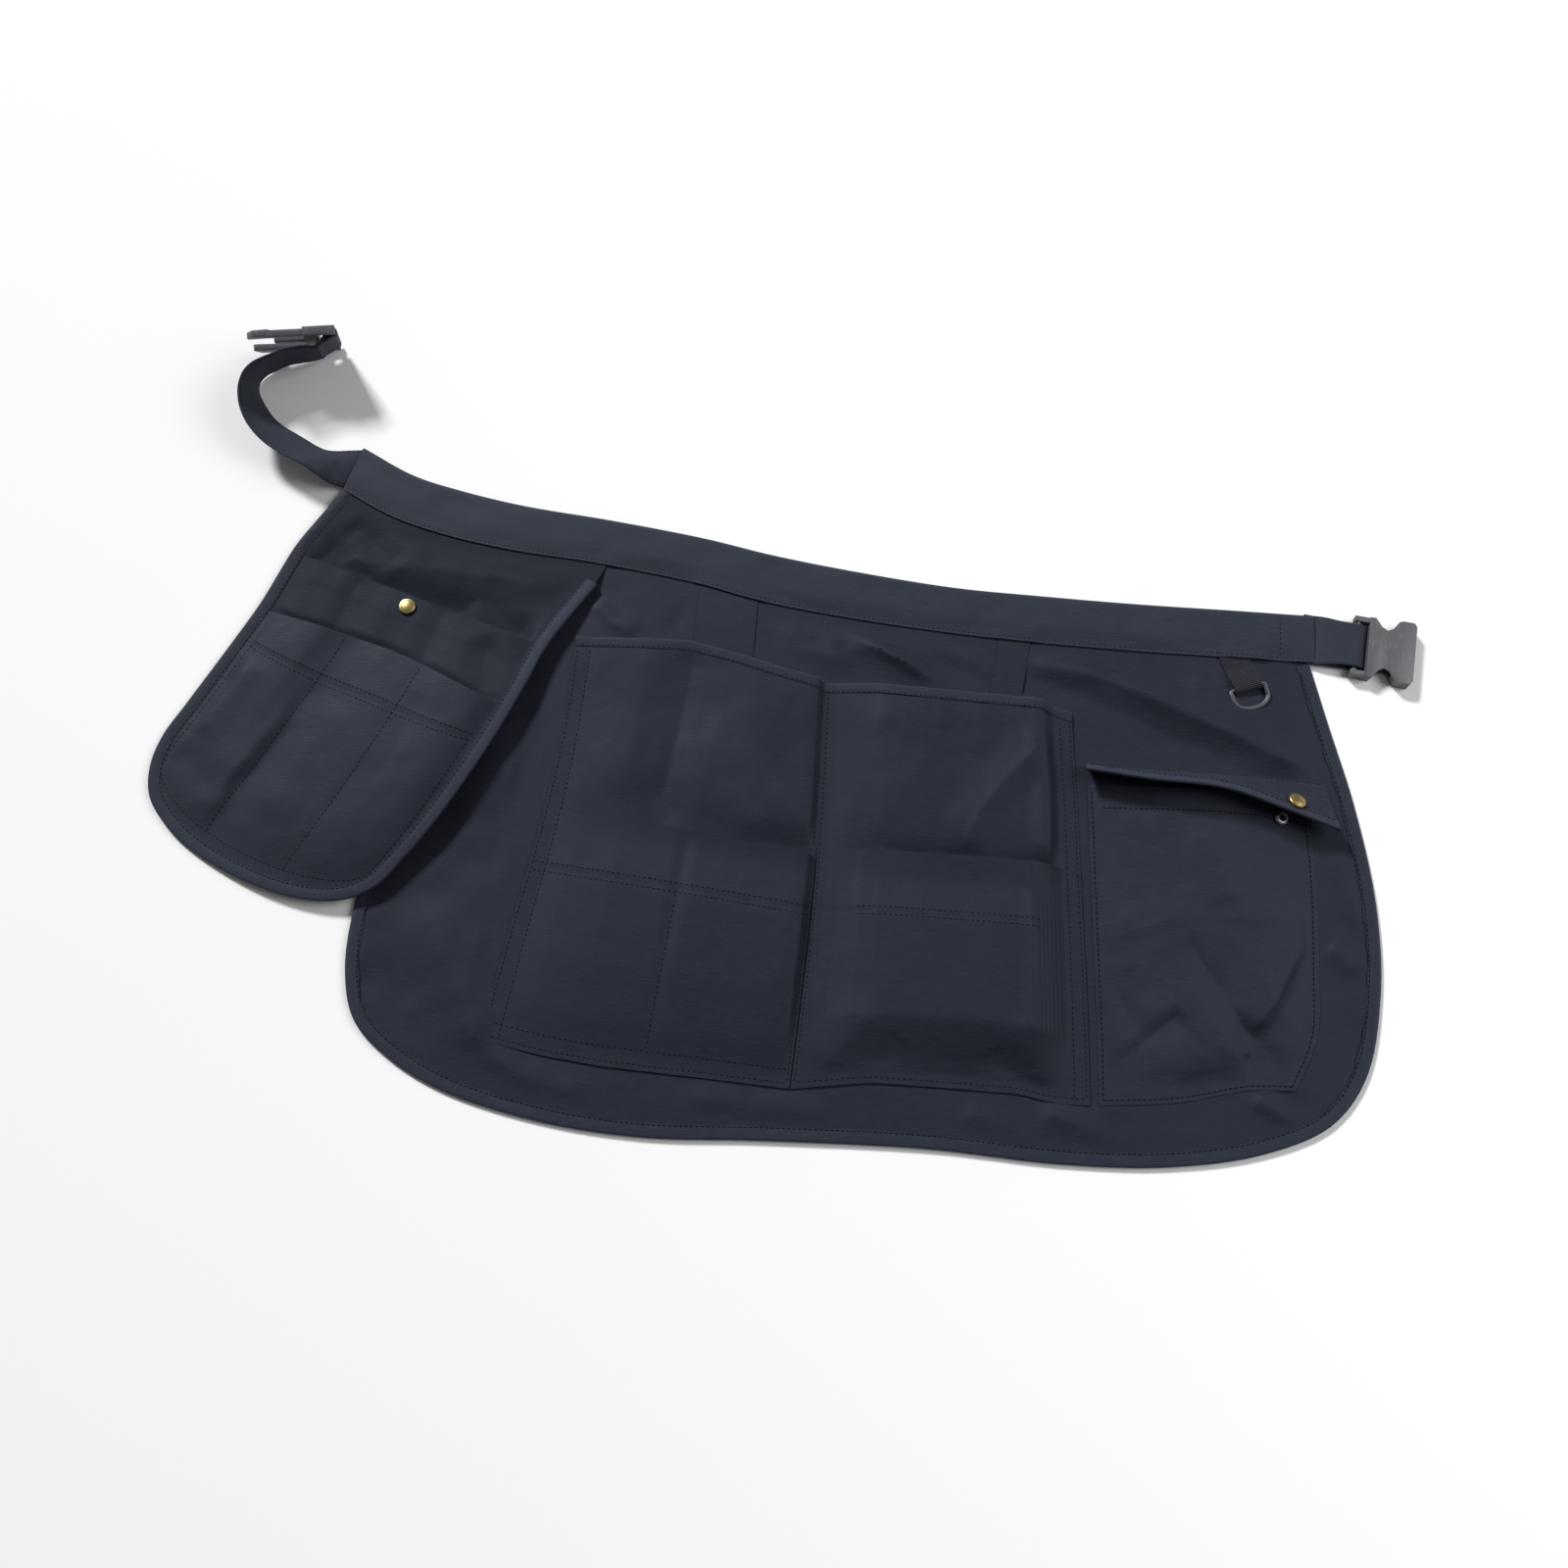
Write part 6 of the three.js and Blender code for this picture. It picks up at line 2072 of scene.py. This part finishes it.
def moulded(name: str, node: Object, round_off: float) -> Object:
    """A copy of a hard solid with its edges rounded as a moulding's are.

    Args:
        name: Name of the piece.
        node: The solid.
        round_off: Width of the rounding.

    Returns:
        The piece.
    """
    bm = bmesh.new()
    bm.from_mesh(node.data)
    bmesh.ops.remove_doubles(bm, verts=bm.verts[:], dist=2e-6)
    flat = math.radians(2.0)
    bmesh.ops.dissolve_limit(bm, angle_limit=flat, verts=bm.verts[:], edges=bm.edges[:])
    corners = [edge for edge in bm.edges if edge.is_manifold and edge.calc_face_angle(0.0) > math.radians(28)]
    bmesh.ops.bevel(
        bm, geom=corners, offset=round_off * MM, offset_type="OFFSET", segments=2, profile=0.5,
        affect="EDGES", clamp_overlap=True, material=-1,
    )
    bmesh.ops.triangulate(bm, faces=[face for face in bm.faces if len(face.verts) > 4])
    return finished(name, bm, 35.0)


@dataclass
class LeftStrap:
    """The strap that leaves the band, turns up on its edge and carries the buckle's plug."""

    rows: Rows = (
        (-354.8, 219.4, 2.45, 258, 0), (-364.5, 217.6, 2.4, 258, 12), (-373.5, 215.8, 2, 257, 29),
        (-382.7, 215.6, 1.5, 254, 41), (-391.5, 218.4, 1.2, 250, 42), (-400.5, 222.6, 1.2, 247, 41),
        (-409.5, 226.6, 1.2, 244, 42), (-418.5, 230.5, 1.1, 239, 47), (-426, 235, 1, 232, 53),
        (-433.5, 241.5, 0.9, 224, 61), (-440.5, 249.5, 0.7, 213, 73), (-446, 257.5, 0.6, 199, 88),
        (-447.5, 265.5, 0.6, 178, 99), (-444.5, 273, 0.7, 157, 104), (-437, 279.6, 0.9, 143, 105),
        (-428, 285, 1.8, 134, 104), (-418, 287.8, 3.2, 129, 104), (-409.5, 289.4, 5, 127, 106),
        (-403, 291.6, 6.5, 127, 109), (-400.6, 294.2, 7, 127, 109),
    )
    width: float = 34.0
    wall: float = 1.9
    stations: int = 260
    bar: tuple[float, float, float] = (-390, 299.7, 24.4)
    heading: float = 196.0
    pitch: float = 7.0
    roll: float = 72.0
    from_strap: float = 40.0
    loop: tuple[float, float, float, float] = (2.5, 1.6, 11.0, 5.0)

    def pose(self) -> Matrix:
        """The plug's pose, in plan millimetres."""
        turn = Matrix.Rotation(math.radians(self.heading), 4, "Z")
        turn = turn @ Matrix.Rotation(math.radians(-self.pitch), 4, "Y")
        turn = turn @ Matrix.Rotation(math.radians(self.roll), 4, "X")
        return Matrix.Translation(Vector(self.bar)) @ turn

    def build(self, wardrobe: Wardrobe, nodes: dict[str, Object]) -> None:
        """Builds and dresses the strap and the plug.

        Args:
            wardrobe: The finishes.
            nodes: The solids by name.
        """
        share = np.linspace(0.0, 1.0, self.stations)
        path = Curve([row[:3] for row in self.rows])
        turns = np.radians(Curve([(row[4], row[3]) for row in self.rows]).by_row(share))
        turn, side = turns[:, 0], turns[:, 1]
        inward = np.stack([np.cos(turn) * np.cos(side), np.cos(turn) * np.sin(side), np.sin(turn)], -1)
        up = unit(np.cross(path.tangent(share), inward))
        at = path.by_row(share)
        ribbon = swept("strap_left_cloth", at, inward, up, strip_section(self.width, self.wall, 14, 0.12))
        wardrobe.dress(ribbon, Slot.BAND, Body.APRON, "strap_left")
        radius, wall, neck, tail = self.loop
        middle, apart = radius + wall / 2, wall * 0.55
        parting = apart + middle * 0.35
        upper = np.array([[-neck - tail, 0, apart], [-neck, 0, apart], [-neck * 0.6, 0, parting]])
        line, out = strap_line(upper, bend_round_bar(middle, 100, 25), (upper * [1, 1, -1])[::-1], 90)
        pose = self.pose() @ Matrix.Rotation(math.pi + math.radians(self.from_strap), 4, "Y")
        across = placed(pose, np.broadcast_to(ALONG_BAR, line.shape), moved=False)
        start = placed(pose, line) - across * self.width / 2
        section = strip_section(self.width, wall - 0.1)
        end = swept("strap_left_loop", start, across, placed(pose, out, moved=False), section)
        wardrobe.dress(end, Slot.BAND, Body.APRON)
        lines = []
        for place in (2.6, self.width - 2.6):
            for face in (1, -1):
                lines.append((at + place * inward + face * up * (self.wall / 2 + 0.1), face * up))
        wardrobe.stitch("strap_left_stitching", lines, Slot.BAND)
        plug = moulded("buckle_plug_body", nodes["male_buckle"], 0.55)
        wardrobe.dress(plug, Slot.PLASTIC, Body.PLUG, "male_buckle")


@dataclass
class RightEnd:
    """The short strap at the band's right end and the buckle's socket on it."""

    bar: tuple[float, float, float] = (399, 161.1, 4.75)
    heading: float = -3.0
    width: float = 34.0
    flare: float = 5.0
    wall: float = 1.5
    radius: float = 2.5
    slack: float = 6.6
    stations: int = 130

    def build(self, wardrobe: Wardrobe, nodes: dict[str, Object]) -> None:
        """Builds and dresses the strap and the socket.

        Args:
            wardrobe: The finishes.
            nodes: The solids by name.
        """
        ring = bend_round_bar(self.radius + self.wall / 2, 95, 17, self.slack)
        sunk = ON_PANEL - self.bar[2] + 0.6
        upper = [[-39, 0, sunk], [-31, 0, sunk + 0.1], [-24, 0, 0.2], [-16, 0, 1.6], [-8, 0, 2.6]]
        lower = [[-8, 0, -2.4], [-14, 0, -1.6], [-20, 0, -1.5], [-25, 0, -1.9]]
        line, out = strap_line(upper, ring, lower, self.stations)
        turn = Matrix.Rotation(math.radians(self.heading), 4, "Z")
        pose = Matrix.Translation(Vector(self.bar)) @ turn
        across = placed(pose, np.broadcast_to(ALONG_BAR, line.shape), moved=False)
        share = np.linspace(0.0, 1.0, self.stations)
        width = self.width + self.flare * (1 - smooth_share(share, 0.1, 0.4))
        start = placed(pose, line) - across * (1.8 * smooth_share(share, 0.5, 1.0) + width / 2)[:, None]
        outs = placed(pose, out, moved=False)
        section = np.stack([strip_section(each, self.wall, 14, 0.1) for each in width])
        strap = swept("strap_right_cloth", start, across, outs, section)
        wardrobe.dress(strap, Slot.BAND, Body.APRON, "strap_right")
        lines = []
        for place in (np.full(self.stations, 2.4), width - 2.4):
            points = start + across * place[:, None] + outs * (self.wall / 2 + 0.1)
            lines.append((points[10:60], outs[10:60]))
        wardrobe.stitch("strap_right_stitching", lines, Slot.BAND)
        socket = moulded("buckle_socket_body", nodes["female_buckle"], 0.7)
        wardrobe.dress(socket, Slot.PLASTIC, Body.SOCKET, "female_buckle")


@dataclass
class RingTab:
    """The webbing tab under the band and the ring that hangs in it."""

    bar: tuple[float, float, float] = (322.5, 117.5, 5.65)
    heading: float = -66.0
    settle: float = 4.0
    inner: float = 22.5
    depth: float = 15.0
    rod: float = 1.75
    width: float = 21.0
    wall: float = 1.0
    neck: float = 9.0
    tail: float = 25.0
    stations: int = 120

    def build(self, wardrobe: Wardrobe) -> None:
        """Builds and dresses the webbing and the ring.

        Args:
            wardrobe: The finishes.
        """
        turn = Matrix.Rotation(math.radians(self.heading), 4, "Z")
        pose = Matrix.Translation(Vector(self.bar)) @ turn
        self._webbing(wardrobe, pose)
        self._ring(wardrobe, pose @ Matrix.Rotation(math.radians(self.settle), 4, "Y"))

    def _webbing(self, wardrobe: Wardrobe, pose: Matrix) -> None:
        """Builds and dresses the webbing.

        Args:
            wardrobe: The finishes.
            pose: The bar's pose, in plan millimetres.
        """
        ring = bend_round_bar(self.rod + 0.3 + self.wall / 2, 95, 17)
        low, neck = ON_PANEL - self.bar[2] + self.wall / 2, -self.neck
        upper = [[neck - self.tail, 0, low + 0.5], [neck - 8, 0, low + 0.7], [neck - 2, 0, 0.4], [-5, 0, 1.9]]
        lower = [[-5, 0, -1.9], [neck, 0, -1.1], [neck - 4, 0, low + 0.02]]
        line, out = strap_line(upper, ring, lower, self.stations)
        out = placed(pose, out, moved=False)
        across = placed(pose, np.broadcast_to(ALONG_BAR, line.shape), moved=False)
        start = placed(pose, line) - across * self.width / 2
        webbing = swept("ring_webbing_tab", start, across, out, strip_section(self.width, self.wall, 14, 0.1))
        wardrobe.dress(webbing, Slot.WEBBING, Body.APRON, "ring_webbing")

    def _ring(self, wardrobe: Wardrobe, pose: Matrix) -> None:
        """Builds and dresses the ring.

        Args:
            wardrobe: The finishes.
            pose: The ring's pose, in plan millimetres.
        """
        half = self.inner / 2 + self.rod
        corner = self.depth * 0.45
        part = np.linspace(0.0, 1.0, 34)[:, None]
        ends = [np.array(point) for point in ((corner, half), (self.depth * 1.25, half))]
        ends += [ends[1] * [1, -1], ends[0] * [1, -1]]
        bow = sum(
            weight * (1 - part) ** (3 - power) * part**power * end
            for power, (weight, end) in enumerate(zip((1, 3, 3, 1), ends))
        )
        base = np.linspace(-half, half, 16)[:, None] * [0.0, 1.0]
        loop = np.vstack([base, bow, base[:1]])
        loop = np.hstack([loop, np.zeros((len(loop), 1))])
        along = np.gradient(loop, axis=0)
        along[0] = along[-1] = along[0] + along[-1]
        outward = placed(pose, -side_ways(along), moved=False)
        turn = np.linspace(0.0, 2 * math.pi, 15)[:-1]
        section = self.rod * np.stack([np.cos(turn), np.sin(turn)], -1)
        up = placed(pose, np.broadcast_to(UP, loop.shape), moved=False)
        ring = swept("ring_body", placed(pose, loop), outward, up, section)
        wardrobe.dress(ring, Slot.PLASTIC, Body.RING, "d_ring", look=wardrobe.ring)


# Studio


@dataclass
class Studio:
    """A pale floor, soft light and a camera that looks down on the apron."""

    aim: tuple[float, float, float] = (0.00544, -0.02471, 0.0)
    azimuth: float = 8.0
    elevation: float = 72.0
    distance: float = 1.19
    lens: float = 38.25
    floor_size: float = 12.0
    floor_under: float = 0.0003
    room_light: float = 0.15

    def build(self) -> None:
        """Builds the floor, the lights and the camera."""
        self._floor()
        self._light("key", place=(-6.6, 7.4, 7.4), size=2.0, power=1800.0)
        self._light("overhead", place=(1.9, 0.4, 1.7), size=1.5, power=34.0)
        world = bpy.data.worlds.new("studio_room")
        world.use_nodes = True
        world.node_tree.nodes["Background"].inputs["Color"].default_value = (1.0, 1.0, 1.0, 1.0)
        world.node_tree.nodes["Background"].inputs["Strength"].default_value = self.room_light
        bpy.context.scene.world = world
        bpy.context.scene.view_settings.view_transform = "Standard"
        self._camera()

    def _floor(self) -> None:
        """Builds the floor."""
        bm = bmesh.new()
        bmesh.ops.create_grid(bm, x_segments=8, y_segments=8, size=self.floor_size / 2)
        bmesh.ops.translate(bm, verts=bm.verts[:], vec=(0.0, 0.0, -self.floor_under))
        floor = finished("studio_floor", bm)
        floor.data.materials.append(FloorFinish("pale_floor", (0.86, 0.86, 0.865)).material())

    def _light(self, name: str, place: tuple[float, float, float], size: float, power: float) -> None:
        """Hangs a square soft light that faces the apron.

        Args:
            name: Name of the light.
            place: Where it hangs, in metres.
            size: Its side, in metres.
            power: Its power, in watts.
        """
        light = bpy.data.lights.new(name, "AREA")
        light.shape = "SQUARE"
        light.size = size
        light.energy = power
        lamp = bpy.data.objects.new(name, light)
        lamp.location = place
        lamp.rotation_euler = (Vector(self.aim) - Vector(place)).to_track_quat("-Z", "Y").to_euler()
        bpy.context.scene.collection.objects.link(lamp)

    def _camera(self) -> None:
        """Sets the camera where the apron was seen from."""
        data = bpy.data.cameras.new("viewer")
        data.lens = self.lens
        data.sensor_width = 36.0
        data.clip_start, data.clip_end = 0.01, 50.0
        camera = bpy.data.objects.new("viewer", data)
        turn, rise = math.radians(self.azimuth), math.radians(self.elevation)
        back = Vector((math.sin(turn) * math.cos(rise), -math.cos(turn) * math.cos(rise), math.sin(rise)))
        camera.location = Vector(self.aim) + back * self.distance
        camera.rotation_euler = (-back).to_track_quat("-Z", "Y").to_euler()
        bpy.context.scene.collection.objects.link(camera)
        bpy.context.scene.camera = camera


def main() -> None:
    """Builds every piece round the frame."""
    logging.basicConfig(level=logging.INFO, format="%(name)s: %(message)s")
    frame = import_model()
    Studio().build()
    wardrobe = Wardrobe()
    band = Waistband()
    for assembly in (band, ApronPanel(band), SidePouch(band), CentrePockets(), FlapPocket(), RingTab()):
        assembly.build(wardrobe)
    for end in (LeftStrap(), RightEnd()):
        end.build(wardrobe, frame["nodes"])


if __name__ == "__main__":
    main()
